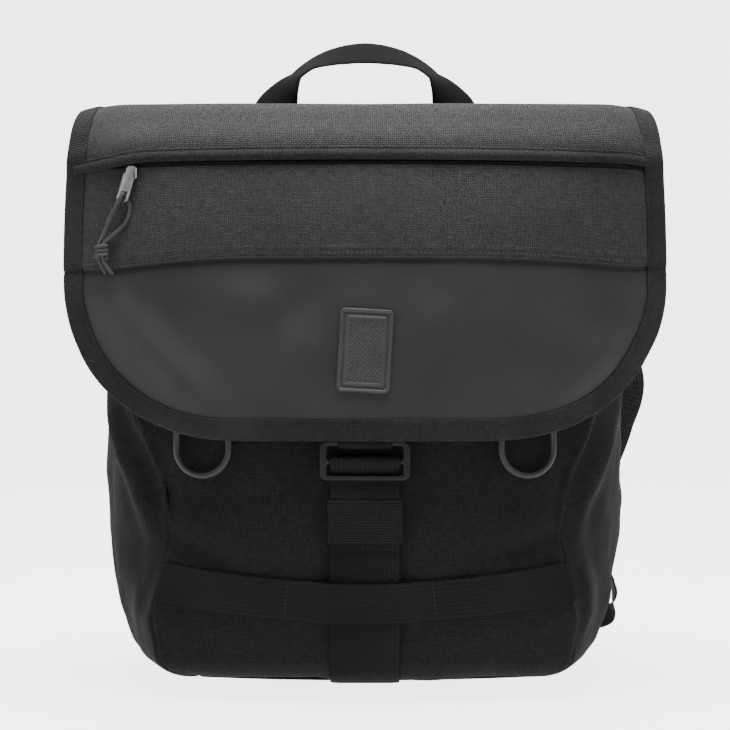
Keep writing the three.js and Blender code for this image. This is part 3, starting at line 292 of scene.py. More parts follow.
def side_folds(across, up):
    rows = [(
        f["across"] * BODY_DEPTH, f["up"] * BODY_HEIGHT, f["to_across"] * BODY_DEPTH,
        f["to_up"] * BODY_HEIGHT, f["width"] * BODY_DEPTH, f["depth"] * BODY_DEPTH,
    ) for f in SIDE_FOLDS]
    return folds(rows, across * BODY_DEPTH, up)


def side_panel(hand):
    """A side panel, from its front seam at 0 to the back at 1."""
    def surface(across, climb):
        s = section(climb)
        dx, dy = s["back_x"] - s["seam_x"], BACK_Y - s["seam_y"]
        chord = np.hypot(dx, dy)
        fade = smooth(climb, 0, BASE_RADIUS * 2)
        out = s["side"] * 4 * across * (1 - across) + fade * side_folds(across, s["z"])
        x = s["seam_x"] + across * dx + out * dy / chord
        y = s["seam_y"] + across * dy - out * dx / chord
        return points(hand * x, y, s["z"])
    return surface


def lifted(surface, u, v, height, step=(0.5, 0.5)):
    """Points at a height over a surface, along the normal of its u and v."""
    u, v = np.broadcast_arrays(np.asarray(u, float), np.asarray(v, float))
    across = surface(u + step[0], v) - surface(u - step[0], v)
    along = surface(u, v + step[1]) - surface(u, v - step[1])
    return surface(u, v) + unit(np.cross(across, along)) * np.asarray(height)[..., None]


def on_front(across, climb, height=0.0):
    return lifted(front_panel, across, climb, height, (0.01, 0.5))


# Surface of the flap
def roll(radius, turn):
    return radius * math.radians(turn), turn


def flap_line(top_run, fall_run):
    """The flap's line in side view: the length of each stretch, and the degrees that it turns through."""
    return [
        (BACK_LAP, 0), roll(BACK_ROLL, BACK_TURN), (top_run, TOP_TURN), roll(FRONT_ROLL, FRONT_TURN),
        (SEAM_DROP - HOOD_DROP, POCKET_TURN), (fall_run, HEM_TURN),
    ]


def walk(line, distance):
    """The place y, z at a distance along a line of such stretches."""
    y, z, heading, left = 0.0, 0.0, math.pi / 2, distance
    for i, (length, turn) in enumerate(line):
        run = left if i == len(line) - 1 else min(left, length)
        bend = math.radians(turn) / length
        turned = heading + bend * run
        if turn == 0:
            y += run * math.cos(heading)
            z += run * math.sin(heading)
        else:
            y += (math.sin(turned) - math.sin(heading)) / bend
            z -= (math.cos(turned) - math.cos(heading)) / bend
        heading = turned
        left -= run
        if left <= 0:
            break
    return y, z


def length_for(measure, wanted):
    """The length that gives the wanted measure, which grows evenly with it."""
    low, high = measure(100), measure(200)
    return 100 + 100 * (wanted - low) / (high - low)


def traced(line):
    total = sum(length for length, _ in line)
    return np.array([walk(line, d) for d in np.linspace(0, total, 401)]), total


TOP_RUN = length_for(lambda run: -traced(flap_line(run, 100))[0][:, 0].min(), FLAP_REACH)


def drop_of(run):
    trace, _ = traced(flap_line(TOP_RUN, run))
    return trace[:, 1].max() - trace[-1, 1]


FALL_RUN = length_for(drop_of, FLAP_DROP)
FLAP_LINE = flap_line(TOP_RUN, FALL_RUN)
FLAP_LENGTH = sum(length for length, _ in FLAP_LINE)
TRACE_AT = np.linspace(-4, FLAP_LENGTH + 4, 2001)
TRACE = np.array([walk(FLAP_LINE, max(d, 0)) for d in TRACE_AT])
TRACE[:, 1] += np.minimum(TRACE_AT, 0)
FLAP_FOOT = FLAP_TOP - TRACE[:, 1].max()
FLAP_START = BACK_FACE + GAP + BINDING_SKIN
TOP_START = BACK_LAP + BACK_ROLL * math.radians(BACK_TURN)
TOP_END = TOP_START + TOP_RUN


def fall_to(drop):
    """Distance along the flap to a drop below its top."""
    falling = TRACE_AT > TOP_END
    return float(np.interp(-(FLAP_TOP - drop), -(FLAP_FOOT + TRACE[falling, 1]), TRACE_AT[falling]))


HOOD_AT = fall_to(HOOD_DROP)
ZIP_AT = HOOD_AT + COIL_WIDTH / 2
SEAM_AT = fall_to(SEAM_DROP)
CORNER_AT = FLAP_LENGTH - HEM_CORNER_HEIGHT


def flap_side(along):
    return lerp(FLAP_BACK_WIDTH, FLAP_WIDTH, smooth(along, 0, SEAM_AT)) / 2


def flap_half(along):
    down = np.clip((np.asarray(along, float) - CORNER_AT) / HEM_CORNER_HEIGHT, 0, 1)
    inside = (1 - down**HEM_CORNER_POWER) ** (1 / HEM_CORNER_POWER)
    return flap_side(along) - HEM_CORNER_WIDTH * (1 - inside)


def plain_flap(across, along):
    y = np.interp(along, TRACE_AT, TRACE[:, 0])
    z = np.interp(along, TRACE_AT, TRACE[:, 1])
    side = flap_side(along)
    wrap = FLAP_WRAP * (np.abs(across) / side) ** 2.2 * smooth(along, TOP_END - WRAP_LEAD, SEAM_AT)
    on_top = smooth(along, 0, TOP_START) * (1 - smooth(along, TOP_END, SEAM_AT))
    hang = np.maximum((np.abs(across) - side + DROOP_BAND) / DROOP_BAND, 0) ** 2
    return points(across, FLAP_START + y + wrap, FLAP_FOOT + z - FLAP_DROOP * hang * on_top)


def on_flap(across, along, height=0.0):
    return lifted(flap_surface, across, along, -np.asarray(height, float))


# Meshes
def linked(name, data):
    obj = bpy.data.objects.new(name, data)
    bpy.context.scene.collection.objects.link(obj)
    return obj


def add_mesh(name, verts, faces, uvs=None):
    """A mesh object from points in millimetres. uvs holds one pair per point, in millimetres too."""
    mesh = bpy.data.meshes.new(name)
    rows = faces.tolist() if isinstance(faces, np.ndarray) else faces
    mesh.from_pydata((np.asarray(verts).reshape(-1, 3) * MM).tolist(), [], rows)
    if uvs is not None:
        layer = mesh.uv_layers.new(name="cloth")
        index = np.empty(len(mesh.loops), int)
        mesh.loops.foreach_get("vertex_index", index)
        layer.data.foreach_set("uv", (np.asarray(uvs, float).reshape(-1, 2)[index] * MM).ravel())
    mesh.shade_smooth()
    return linked(name, mesh)


def grid_faces(rows, columns, closed=False):
    i = np.arange(rows - 1)[:, None]
    j = np.arange(columns if closed else columns - 1)[None, :]
    a = i * columns + j
    b = i * columns + (j + 1) % columns
    return np.stack(np.broadcast_arrays(a, b, b + columns, a + columns), axis=-1).reshape(-1, 4)


def shell(name, outer, inner, uv):
    """A closed sheet between two grids of points."""
    rows, columns = outer.shape[:2]
    count = rows * columns
    faces = grid_faces(rows, columns)
    index = np.arange(count).reshape(rows, columns)
    rim = np.concatenate([index[0], index[1:, -1], index[-1, -2::-1], index[-2:0:-1, 0]])
    after = np.roll(rim, -1)
    wall = np.stack([after, rim, rim + count, after + count], axis=-1)
    verts = np.concatenate([outer.reshape(-1, 3), inner.reshape(-1, 3)])
    every = np.concatenate([faces, faces[:, ::-1] + count, wall])
    middle = outer[rows // 2, columns // 2]
    a, b = outer[rows // 2, columns // 2 + 1] - middle, outer[rows // 2 + 1, columns // 2] - middle
    if np.dot(np.cross(a, b), middle - inner[rows // 2, columns // 2]) < 0:
        every = every[:, ::-1]
    return add_mesh(name, verts, every, np.concatenate([uv.reshape(-1, 2)] * 2))


def tube(name, rings, uv=None, closed=False):
    """A solid through rings of points. Its open ends are closed with a fan round their middle."""
    rings = np.asarray(rings, float)
    rows, columns = rings.shape[:2]
    if closed:
        faces = grid_faces(rows + 1, columns, closed=True) % (rows * columns)
        verts = rings.reshape(-1, 3)
        return add_mesh(name, verts, faces if volume(verts, faces) > 0 else faces[:, ::-1], uv)
    verts = np.concatenate([rings.reshape(-1, 3), rings[:1].mean(1), rings[-1:].mean(1)])
    j = np.arange(columns)
    k = (j + 1) % columns
    last = (rows - 1) * columns
    start = np.stack([np.full(columns, rows * columns), k, j], axis=-1)
    end = np.stack([np.full(columns, rows * columns + 1), last + j, last + k], axis=-1)
    every = [*grid_faces(rows, columns, closed=True).tolist(), *start.tolist(), *end.tolist()]
    if volume(verts, every) < 0:
        every = [face[::-1] for face in every]
    if uv is not None:
        uv = np.asarray(uv, float)
        uv = np.concatenate([uv.reshape(-1, 2), uv[:1].mean(1), uv[-1:].mean(1)])
    return add_mesh(name, verts, every, uv)


def volume(verts, faces):
    total = 0.0
    for f in faces:
        a = verts[f[0]]
        for b, c in zip(f[1:-1], f[2:]):
            total += np.dot(a, np.cross(verts[b], verts[c]))
    return total / 6


# Lines in space
def curve_through(line, step, *columns):
    """Points about a step apart on a smooth curve through a line's points, with other columns of values."""
    line = np.asarray(line, float)
    ends = [2 * line[0] - line[1], 2 * line[-1] - line[-2]]
    p = np.concatenate([ends[:1], line, ends[1:]])
    t = np.concatenate([[0], np.cumsum(np.sqrt(np.linalg.norm(np.diff(p, axis=0), axis=1)))])
    found, places = [], []
    for i in range(1, len(p) - 2):
        count = max(2, math.ceil(np.linalg.norm(p[i + 1] - p[i]) / step))
        s = np.linspace(t[i], t[i + 1], count, endpoint=False)[:, None]
        a1 = (t[i] - s) / (t[i] - t[i - 1]) * p[i - 1] + (s - t[i - 1]) / (t[i] - t[i - 1]) * p[i]
        a2 = (t[i + 1] - s) / (t[i + 1] - t[i]) * p[i] + (s - t[i]) / (t[i + 1] - t[i]) * p[i + 1]
        last = t[i + 2] - t[i + 1]
        a3 = (t[i + 2] - s) / last * p[i + 1] + (s - t[i + 1]) / last * p[i + 2]
        b1 = (t[i + 1] - s) / (t[i + 1] - t[i - 1]) * a1 + (s - t[i - 1]) / (t[i + 1] - t[i - 1]) * a2
        b2 = (t[i + 2] - s) / (t[i + 2] - t[i]) * a2 + (s - t[i]) / (t[i + 2] - t[i]) * a3
        found.append((t[i + 1] - s) / (t[i + 1] - t[i]) * b1 + (s - t[i]) / (t[i + 1] - t[i]) * b2)
        places.append(i - 1 + (s[:, 0] - t[i]) / (t[i + 1] - t[i]))
    found.append(line[-1:])
    places.append(np.array([len(line) - 1.0]))
    places = np.concatenate(places)
    known = np.arange(len(line))
    blended = [
        np.stack([np.interp(places, known, np.asarray(c, float)[:, k]) for k in range(3)], axis=-1)
        if np.ndim(c) == 2 else np.interp(places, known, np.broadcast_to(c, len(line))) for c in columns
    ]
    return (np.concatenate(found), *blended)


def lengths(line):
    return np.concatenate([[0], np.cumsum(np.linalg.norm(np.diff(line, axis=0), axis=1))])


def directions(line):
    ahead = np.concatenate([line[1:], line[-1:]])
    behind = np.concatenate([line[:1], line[:-1]])
    return unit(ahead - behind)


def strap_profile(count=9, edge=0.5):
    """Rounded cross-section of a flat band: x and z from -1 to 1, once round."""
    x = np.sin(np.linspace(-1, 1, count) * math.pi / 2)
    z = (1 - np.abs(x) ** 10) ** edge
    return np.concatenate([np.stack([x, z], -1), np.stack([x[::-1], -z[::-1]], -1)[1:-1]])


def ribbon(name, line, sides, width, thickness, step=2.0, profile=None):
    """A band along a line. sides holds the direction across at each point of the line."""
    line, sides, width, thickness = curve_through(line, step, sides, width, thickness)
    along = directions(line)
    across = unit(sides - along * np.sum(sides * along, axis=1, keepdims=True))
    up = np.cross(across, along)
    shape = strap_profile() if profile is None else profile
    x = shape[None, :, :1] * (width / 2)[:, None, None]
    z = shape[None, :, 1:] * (thickness / 2)[:, None, None]
    rings = line[:, None] + across[:, None] * x + up[:, None] * z
    uv = np.stack(np.broadcast_arrays(x[..., 0], lengths(line)[:, None]), axis=-1)
    return tube(name, rings, uv)


def sweep(name, line, radius, sides=12, ridges=0.0, twist=0.0):
    """A round cord along a line, with a braid's ridges as a share of its radius."""
    line = np.asarray(line, float)
    along = directions(line)
    normal = np.cross(along[0], (0, 1, 0.3))
    frames = []
    for direction in along:
        normal = unit(normal - direction * np.dot(normal, direction))
        frames.append((normal, np.cross(direction, normal)))
    angle = np.linspace(0, 2 * math.pi, sides, endpoint=False)
    length = lengths(line)
    rings = []
    for (a, b), point, run in zip(frames, line, length):
        wave = np.cos(4 * angle + run * twist) * np.cos(4 * angle - run * twist)
        r = radius * (1 + ridges * wave)
        rings.append(point + np.outer(r * np.cos(angle), a) + np.outer(r * np.sin(angle), b))
    uv = np.stack(np.broadcast_arrays((angle * radius)[None, :], length[:, None]), axis=-1)
    return tube(name, rings, uv)


def plate(name, outline, holes, thickness, bevel):
    """A flat moulding with rounded edges, from outlines in the plane, x and y, in millimetres."""
    curve = bpy.data.curves.new(name, "CURVE")
    curve.dimensions = "2D"
    curve.fill_mode = "BOTH"
    curve.extrude = (thickness / 2 - bevel) * MM
    curve.bevel_depth = bevel * MM
    curve.bevel_resolution = 3
    curve.offset = -bevel * MM
    for ring in [outline, *holes]:
        spline = curve.splines.new("POLY")
        spline.points.add(len(ring) - 1)
        for point, (x, y) in zip(spline.points, ring):
            point.co = (x * MM, y * MM, 0, 1)
        spline.use_cyclic_u = True
    drawn = linked(name + "_outline", curve)
    bpy.context.view_layer.update()
    mesh = bpy.data.meshes.new_from_object(drawn.evaluated_get(bpy.context.evaluated_depsgraph_get()))
    bpy.data.objects.remove(drawn)
    bpy.data.curves.remove(curve)
    mesh.name = name
    obj = linked(name, mesh)
    mesh.shade_smooth()
    mesh.set_sharp_from_angle(angle=math.radians(50))
    return obj


FACING_FRONT = ((1, 0, 0), (0, 0, 1), (0, -1, 0))


def place(obj, x_axis, y_axis, z_axis, at):
    """Moves a mesh's own points to a frame in millimetres, and leaves its object at the origin."""
    rows = [[x_axis[i], y_axis[i], z_axis[i], at[i] * MM] for i in range(3)] + [[0, 0, 0, 1]]
    obj.data.transform(Matrix(rows))
    return obj


def rounded_box(x0, x1, y0, y1, radius, steps=6):
    outline = []
    for quarter, (x, y) in enumerate([(x1, y1), (x0, y1), (x0, y0), (x1, y0)]):
        cx = x - radius * (1 if x == x1 else -1)
        cy = y - radius * (1 if y == y1 else -1)
        for angle in np.linspace(quarter, quarter + 1, steps) * math.pi / 2:
            outline.append((cx + radius * math.cos(angle), cy + radius * math.sin(angle)))
    return outline


def stitches(name, places, length=2.6, radius=0.36):
    """Rows of thread as one mesh. places lists (points, directions, normals)."""
    around, stations = 6, np.array([-1, -0.8, -0.35, 0.35, 0.8, 1])
    sizes = np.array([0.25, 0.75, 1, 1, 0.75, 0.25])
    angle = np.linspace(0, 2 * math.pi, around, endpoint=False)
    at = np.concatenate([np.atleast_2d(p) for p, _, _ in places])
    along = unit(np.concatenate([np.broadcast_to(d, np.atleast_2d(p).shape) for p, d, _ in places]))
    up = np.concatenate([np.broadcast_to(n, np.atleast_2d(p).shape) for p, _, n in places])
    up = unit(up - along * np.sum(up * along, axis=1, keepdims=True))
    side = np.cross(along, up)
    dip = -0.35 * np.abs(stations) ** 2
    run = stations * length / 2
    verts = (
        at[:, None, None] + along[:, None, None] * run[None, :, None, None]
        + up[:, None, None] * ((dip[:, None] + sizes[:, None] * np.sin(angle)) * radius)[None, :, :, None]
        + side[:, None, None] * (sizes[:, None] * np.cos(angle) * radius)[None, :, :, None]
    )
    one = grid_faces(len(stations), around, closed=True)
    count = len(stations) * around
    starts = np.arange(len(at)) * count
    faces = (one[None] + starts[:, None, None]).reshape(-1, 4)[:, ::-1].tolist()
    for start in starts.tolist():
        last = start + count - 1
        faces += [list(range(start, start + around)), list(range(last, last - around, -1))]
    return add_mesh(name, verts, faces)


TO_FRONT = (0, -1, 0.1)
TO_BACK = (0, 1, 0.0)


def row_of(points_of, start, end, pitch, normal):
    """A straight row of stitches between two (u, v) ends on a surface: places, directions and normals."""
    start, end = np.array(start, float), np.array(end, float)
    dense = points_of(*np.linspace(start, end, 60).T)
    count = max(2, int(lengths(dense)[-1] / pitch))
    share = (np.arange(count) + 0.5) / count
    u, v = (start + (end - start) * share[:, None]).T
    du, dv = (end - start) * 0.002
    spots = points_of(u, v)
    way = unit(points_of(u + du, v + dv) - points_of(u - du, v - dv))
    return spots, way, np.broadcast_to(normal, spots.shape)


# Materials
CLOTH_GLOSS = 0.03


class Nodes:
    """Small helper to wire a material's nodes."""

    def __init__(self, name):
        self.material = bpy.data.materials.new(name)
        self.material.use_nodes = True
        self.tree = self.material.node_tree
        self.shader = self.tree.nodes["Principled BSDF"]
        uses_uv = self.tree.nodes.new("ShaderNodeUVMap")
        uses_uv.uv_map = "cloth"
        self.uv = uses_uv.outputs["UV"]
        self.object = self.tree.nodes.new("ShaderNodeTexCoord").outputs["Object"]

    def put(self, socket, value):
        if isinstance(value, bpy.types.NodeSocket):
            self.tree.links.new(value, socket)
        else:
            socket.default_value = value

    def math(self, operation, a, b=0.0, clamp=False):
        node = self.tree.nodes.new("ShaderNodeMath")
        node.operation = operation
        node.use_clamp = clamp
        self.put(node.inputs[0], a)
        self.put(node.inputs[1], b)
        return node.outputs[0]

    def split(self, vector):
        node = self.tree.nodes.new("ShaderNodeSeparateXYZ")
        self.put(node.inputs[0], vector)
        return node.outputs

    def scaled(self, vector, scale):
        node = self.tree.nodes.new("ShaderNodeVectorMath")
        node.operation = "MULTIPLY"
        self.put(node.inputs[0], vector)
        node.inputs[1].default_value = scale
        return node.outputs[0]

    def noise(self, vector, scale, detail=2.0, roughness=0.5):
        node = self.tree.nodes.new("ShaderNodeTexNoise")
        self.put(node.inputs["Vector"], vector)
        node.inputs["Scale"].default_value = scale
        node.inputs["Detail"].default_value = detail
        node.inputs["Roughness"].default_value = roughness
        return node.outputs["Fac"]

    def ramp(self, factor, low, high, from_low=0.0, from_high=1.0):
        node = self.tree.nodes.new("ShaderNodeMapRange")
        self.put(node.inputs["Value"], factor)
        node.inputs["From Min"].default_value = from_low
        node.inputs["From Max"].default_value = from_high
        node.inputs["To Min"].default_value = low
        node.inputs["To Max"].default_value = high
        return node.outputs["Result"]

    def spread(self, noise, low, high):
        """Values for a noise, which seldom leaves 0.3 to 0.7."""
        return self.ramp(noise, low, high, 0.3, 0.7)

    def tone(self, dark, light, *parts):
        """Colour between two greys, by the sum of the parts."""
        total = parts[0]
        for part in parts[1:-1]:
            total = self.math("ADD", total, part)
        return self.mix(self.math("ADD", total, parts[-1], clamp=True), grey(dark), grey(light))

    def mix(self, factor, a, b):
        node = self.tree.nodes.new("ShaderNodeMix")
        node.data_type = "RGBA"
        self.put(node.inputs[0], factor)
        self.put(node.inputs[6], a)
        self.put(node.inputs[7], b)
        return node.outputs[2]

    def bump(self, height, distance, strength=1.0, under=None):
        node = self.tree.nodes.new("ShaderNodeBump")
        node.inputs["Strength"].default_value = strength
        node.inputs["Distance"].default_value = distance
        self.put(node.inputs["Height"], height)
        if under is not None:
            self.put(node.inputs["Normal"], under)
        return node.outputs["Normal"]

    def arch(self, value, pitch):
        """Round ridges of a pitch in metres."""
        return self.math("ABSOLUTE", self.math("SINE", self.math("MULTIPLY", value, math.pi / pitch)))

    def finish(self, color, roughness, normal, **settings):
        self.put(self.shader.inputs["Base Color"], color)
        self.put(self.shader.inputs["Roughness"], roughness)
        self.put(self.shader.inputs["Normal"], normal)
        for name, value in settings.items():
            self.shader.inputs[name.replace("_", " ")].default_value = value
        return self.material


def grey(value):
    """A slightly blue grey of a linear value."""
    return (value, value, value * 1.06, 1)


def weave(nodes, pitch, slub=0.35):
    """Height of a plain weave, and how much its yarns vary."""
    wobble = nodes.noise(nodes.uv, 160)
    x, y, _ = nodes.split(nodes.uv)
    x = nodes.math("ADD", x, nodes.math("MULTIPLY", wobble, pitch * 0.3))
    y = nodes.math("ADD", y, nodes.math("MULTIPLY", wobble, pitch * 0.25))
    warp, weft = nodes.arch(x, pitch), nodes.arch(y, pitch)
    over_x = nodes.math("SINE", nodes.math("MULTIPLY", x, math.pi / pitch))
    over_y = nodes.math("SINE", nodes.math("MULTIPLY", y, math.pi / pitch))
    over = nodes.math("GREATER_THAN", nodes.math("MULTIPLY", over_x, over_y), 0.0)
    height = nodes.math("ADD", nodes.math("MULTIPLY", warp, over), nodes.math(
        "MULTIPLY", weft, nodes.math("SUBTRACT", 1.0, over)))
    along_warp = nodes.noise(nodes.scaled(nodes.uv, (1 / pitch, 0.2 / pitch, 1)), 1.0)
    along_weft = nodes.noise(nodes.scaled(nodes.uv, (0.2 / pitch, 1 / pitch, 1)), 1.0)
    yarns = nodes.math("ADD", nodes.math("MULTIPLY", along_warp, 0.5),
                       nodes.math("MULTIPLY", along_weft, 0.5))
    return nodes.math("ADD", height, nodes.math("MULTIPLY", yarns, slub * 2)), yarns


def woven(name, pitch, dark, light, roughness, depth, sheen, slub=0.35):
    """Cloth of a plain weave with uneven yarns, soft wear and dust; its colour is darker in the weave's dips,
    which is painted shade.
    """
    nodes = Nodes(name)
    height, yarns = weave(nodes, pitch, slub)
    patches = nodes.noise(nodes.object, 9, 3)
    # The weave's height lightens the yarn crowns and darkens the dips between them: painted shade.
    color = nodes.tone(dark, light, nodes.spread(yarns, 0.25, 0.65), nodes.spread(patches, -0.08, 0.08),
                       nodes.ramp(height, -0.5, 0.5, 0.2, 1.4))
    rough = nodes.spread(patches, roughness - 0.06, roughness + 0.06)
    return nodes.finish(color, rough, nodes.bump(height, depth), Sheen_Weight=sheen, Sheen_Roughness=0.45,
                        Specular_IOR_Level=CLOTH_GLOSS)


def ribbed(name, pitch, dark, light, roughness, depth, sheen, across=0.0006):
    """Woven tape or webbing with ribs across its run and fine warp yarns along it; the dips between its ribs
    are darkened as painted shade.
    """
    nodes = Nodes(name)
    x, y, _ = nodes.split(nodes.uv)
    ribs = nodes.arch(y, pitch)
    yarns = nodes.arch(x, across)
    fibres = nodes.noise(nodes.scaled(nodes.uv, (1 / across, 0.2 / pitch, 1)), 1.0)
    height = nodes.math("ADD", nodes.math("MULTIPLY", ribs, 0.75), nodes.math("MULTIPLY", yarns, 0.25))
    patches = nodes.noise(nodes.object, 14, 3)
    # The ribs' height lightens their crowns and darkens the dips between them: painted shade.
    color = nodes.tone(dark, light, nodes.ramp(height, 0.05, 0.7), nodes.spread(fibres, -0.2, 0.35),
                       nodes.spread(patches, -0.2, 0.2))
    rough = nodes.spread(patches, roughness - 0.05, roughness + 0.05)
    return nodes.finish(color, rough, nodes.bump(height, depth), Sheen_Weight=sheen, Sheen_Roughness=0.4,
                        Specular_IOR_Level=CLOTH_GLOSS)


def chevron(name, pitch, dark, light, roughness, depth, sheen):
    """Strong strap webbing: ribs in narrow slanting columns, with painted shade in the dips between the ribs.
    """
    nodes = Nodes(name)
    x, y, _ = nodes.split(nodes.uv)
    columns = nodes.arch(x, pitch * 1.9)
    slant = nodes.math("ADD", y, nodes.math("MULTIPLY", columns, pitch * 0.7))
    ribs = nodes.arch(slant, pitch)
    height = nodes.math("ADD", nodes.math("MULTIPLY", ribs, 0.6), nodes.math("MULTIPLY", columns, 0.4))
    patches = nodes.noise(nodes.object, 14, 3)
    # The ribs' height lightens their crowns and darkens the dips: painted shade.
    color = nodes.tone(dark, light, nodes.ramp(height, 0.1, 0.8), nodes.spread(patches, -0.2, 0.2))
    rough = nodes.spread(patches, roughness - 0.05, roughness + 0.05)
    return nodes.finish(color, rough, nodes.bump(height, depth), Sheen_Weight=sheen, Sheen_Roughness=0.4,
                        Specular_IOR_Level=CLOTH_GLOSS)


def moulded(name, dark, light, roughness, grain, depth, metallic=0.0, specular=0.5):
    """Moulded plastic, rubber or plated metal with a fine grain and handling marks."""
    nodes = Nodes(name)
    fine = nodes.noise(nodes.object, grain, 3)
    marks = nodes.noise(nodes.object, 60, 4, 0.6)
    color = nodes.mix(nodes.spread(marks, 0.0, 1.0), grey(dark), grey(light))
    rough = nodes.spread(marks, roughness - 0.07, roughness + 0.07)
    return nodes.finish(color, rough, nodes.bump(fine, depth), Metallic=metallic, Specular_IOR_Level=specular)


def open_mesh_cloth(name, pitch, dark, light):
    """Spacer mesh on foam: rows of small dents, darkened inside as painted shade."""
    nodes = Nodes(name)
    cells = nodes.tree.nodes.new("ShaderNodeTexVoronoi")
    nodes.put(cells.inputs["Vector"], nodes.uv)
    cells.inputs["Scale"].default_value = 1 / pitch
    cells.inputs["Randomness"].default_value = 0.15
    holes = nodes.ramp(cells.outputs["Distance"], 0.0, 1.0, 0.12, 0.4)
    patches = nodes.noise(nodes.object, 12, 3)
    # The dents are darker than the mesh round them: painted shade.
    color = nodes.tone(dark, light, nodes.math("MULTIPLY", holes, 0.8), nodes.spread(patches, -0.2, 0.2))
    return nodes.finish(color, 0.85, nodes.bump(holes, 0.0007), Sheen_Weight=0.02, Sheen_Roughness=0.5,
                        Specular_IOR_Level=0.05)


def coated_cloth(name, pitch, dark, light):
    """Tightly woven nylon with a satin face. Its colour is clouded with painted satin shading and highlights,
    and the same clouds vary its roughness and bumps.
    """
    nodes = Nodes(name)
    height, yarns = weave(nodes, pitch, 0.2)
    shading_clouds = nodes.noise(nodes.object, 16, 3, 0.55)
    # The clouds lighten and darken the colour in broad soft patches: painted satin shading and highlights.
    color = nodes.tone(dark, light, nodes.spread(shading_clouds, 0.0, 1.0), nodes.spread(yarns, -0.15, 0.15))
    rough = nodes.spread(shading_clouds, 0.5, 0.42)
    normal = nodes.bump(height, 0.00008, under=nodes.bump(shading_clouds, 0.0008, 0.6))
    return nodes.finish(color, rough, normal, Sheen_Weight=0.01, Sheen_Roughness=0.35,
                        Specular_IOR_Level=0.14)


CANVAS = woven("coarse_canvas", pitch=0.0014, dark=0.003, light=0.025, roughness=0.9, depth=0.0003,
               sheen=0.01, slub=0.2)
BODY_CLOTH = woven("pack_cloth", pitch=0.0014, dark=0.0012, light=0.0105, roughness=0.9, depth=0.0003,
                   sheen=0.005, slub=0.2)
CORD = woven("braided_cord", pitch=0.0009, dark=0.008, light=0.035, roughness=0.7, depth=0.0003, sheen=0.03)
COATED = coated_cloth("coated_nylon", pitch=0.00055, dark=0.0034, light=0.0078)
TAPE = ribbed("grosgrain_tape", pitch=0.00125, dark=0.0016, light=0.014, roughness=0.8, depth=0.0004,
              sheen=0.01)
ELASTIC = ribbed("elastic_tape", pitch=0.0018, dark=0.0016, light=0.007, roughness=0.85, depth=0.0002,
                 sheen=0.005)
THREAD = ribbed("thread", pitch=0.0005, dark=0.006, light=0.022, roughness=0.6, depth=0.0001, sheen=0.03,
                across=0.0003)
PALE_THREAD = ribbed("pale_thread", pitch=0.0005, dark=0.014, light=0.05, roughness=0.7, depth=0.0001,
                     sheen=0.01, across=0.0003)
WEB = chevron("strap_webbing", pitch=0.0016, dark=0.0012, light=0.007, roughness=0.85, depth=0.0005,
              sheen=0.005)
# A darker copy of the strap webbing for the handle: painted shade against the overhead light that falls on
# its upper face.
SHADED_HANDLE_WEB = chevron("handle_webbing", pitch=0.0015, dark=0.0006, light=0.0034, roughness=0.9, depth=0.0005,
                     sheen=0.0)
PLASTIC = moulded("moulded_plastic", dark=0.005, light=0.008, roughness=0.42, grain=3500, depth=0.00003,
                  specular=0.16)
DARK_PLASTIC = moulded("buckle_plastic", dark=0.0025, light=0.005, roughness=0.45, grain=3500,
                       depth=0.00003, specular=0.1)
METAL = moulded("plated_metal", dark=0.1, light=0.24, roughness=0.35, grain=2500, depth=0.00002,
                metallic=1.0)
# Near-black: the coil's own black plastic, made darker still as painted shade under the hood.
COIL = moulded("zip_coil", dark=0.0008, light=0.002, roughness=0.5, grain=2500, depth=0.00002,
               specular=0.08)
RUBBER = moulded("soft_rubber", dark=0.010, light=0.015, roughness=0.55, grain=2800, depth=0.00004,
                 specular=0.16)
MESH = open_mesh_cloth("spacer_mesh", pitch=0.0026, dark=0.0015, light=0.008)


def dress(obj, material, body="bag", node=None):
    """Gives a piece its material and slot, lets it ride on a body and stand for a node."""
    obj.data.materials.clear()
    obj.data.materials.append(material)
    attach(obj, body)
    if node:
        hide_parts(node)
    return obj


# Body. Each fold: start and end on the cloth, its width and its depth, in millimetres
PANEL_THICKNESS = 1.8
FRONT_FOLDS = [
    (-144, 105, -106, 84, 8, -4.6), (-140, 119, -94, 101, 11, 2.6), (-146, 150, -141, 112, 7, -3.4),
    (141, 105, 90, 88, 8, -4.6), (138, 119, 86, 103, 11, 2.8), (146, 152, 141, 112, 7, -3.4),
    (-152, 190, -140, 96, 9, -2.2), (-128, 168, -118, 100, 16, 1.0), (150, 200, 139, 104, 9, -2.2),
    (124, 172, 112, 100, 16, 1.0), (-60, 150, -90, 92, 22, -1.2), (66, 156, 92, 96, 22, -1.2),
    (-136, 58, -104, 14, 14, -1.6), (132, 60, 100, 12, 14, -1.6), (-70, 52, -56, 10, 18, -0.9),
    (74, 50, 58, 10, 18, -0.9), (-150, 40, -60, 36, 10, 0.7), (150, 44, 64, 34, 10, 0.7),
]


def front_relief(across, climb):
    """Folds of the front panel. They stay low under the strap, the band and the rings."""
    s = section(climb)
    x = across * s["seam_x"]
    z = s["z"]
    soft = folds(FRONT_FOLDS, x, z) + 1.4 * unevenness(x, z, 46, 3) + 0.6 * unevenness(x, z, 17, 4)
    beside_strap = smooth(np.abs(x), 20, 36)
    edge = (1 - np.abs(across)) * s["seam_x"]
    welt = 0.9 * np.exp(-((edge - 4) / 2.2) ** 2) - 2.6 * (1 - smooth(edge, 0, 3.2))
    above_band = smooth(z, 94, 108) * (1 - smooth(z, 132, 146))
    highest = 0.3 + 1.6 * (above_band + 1 - smooth(z, 34, 46))
    foot = 0.4 * (1 - smooth(z, 0, 20))
    return np.minimum(soft * beside_strap - 0.9, highest) + welt * smooth(z, 2, 14) - foot


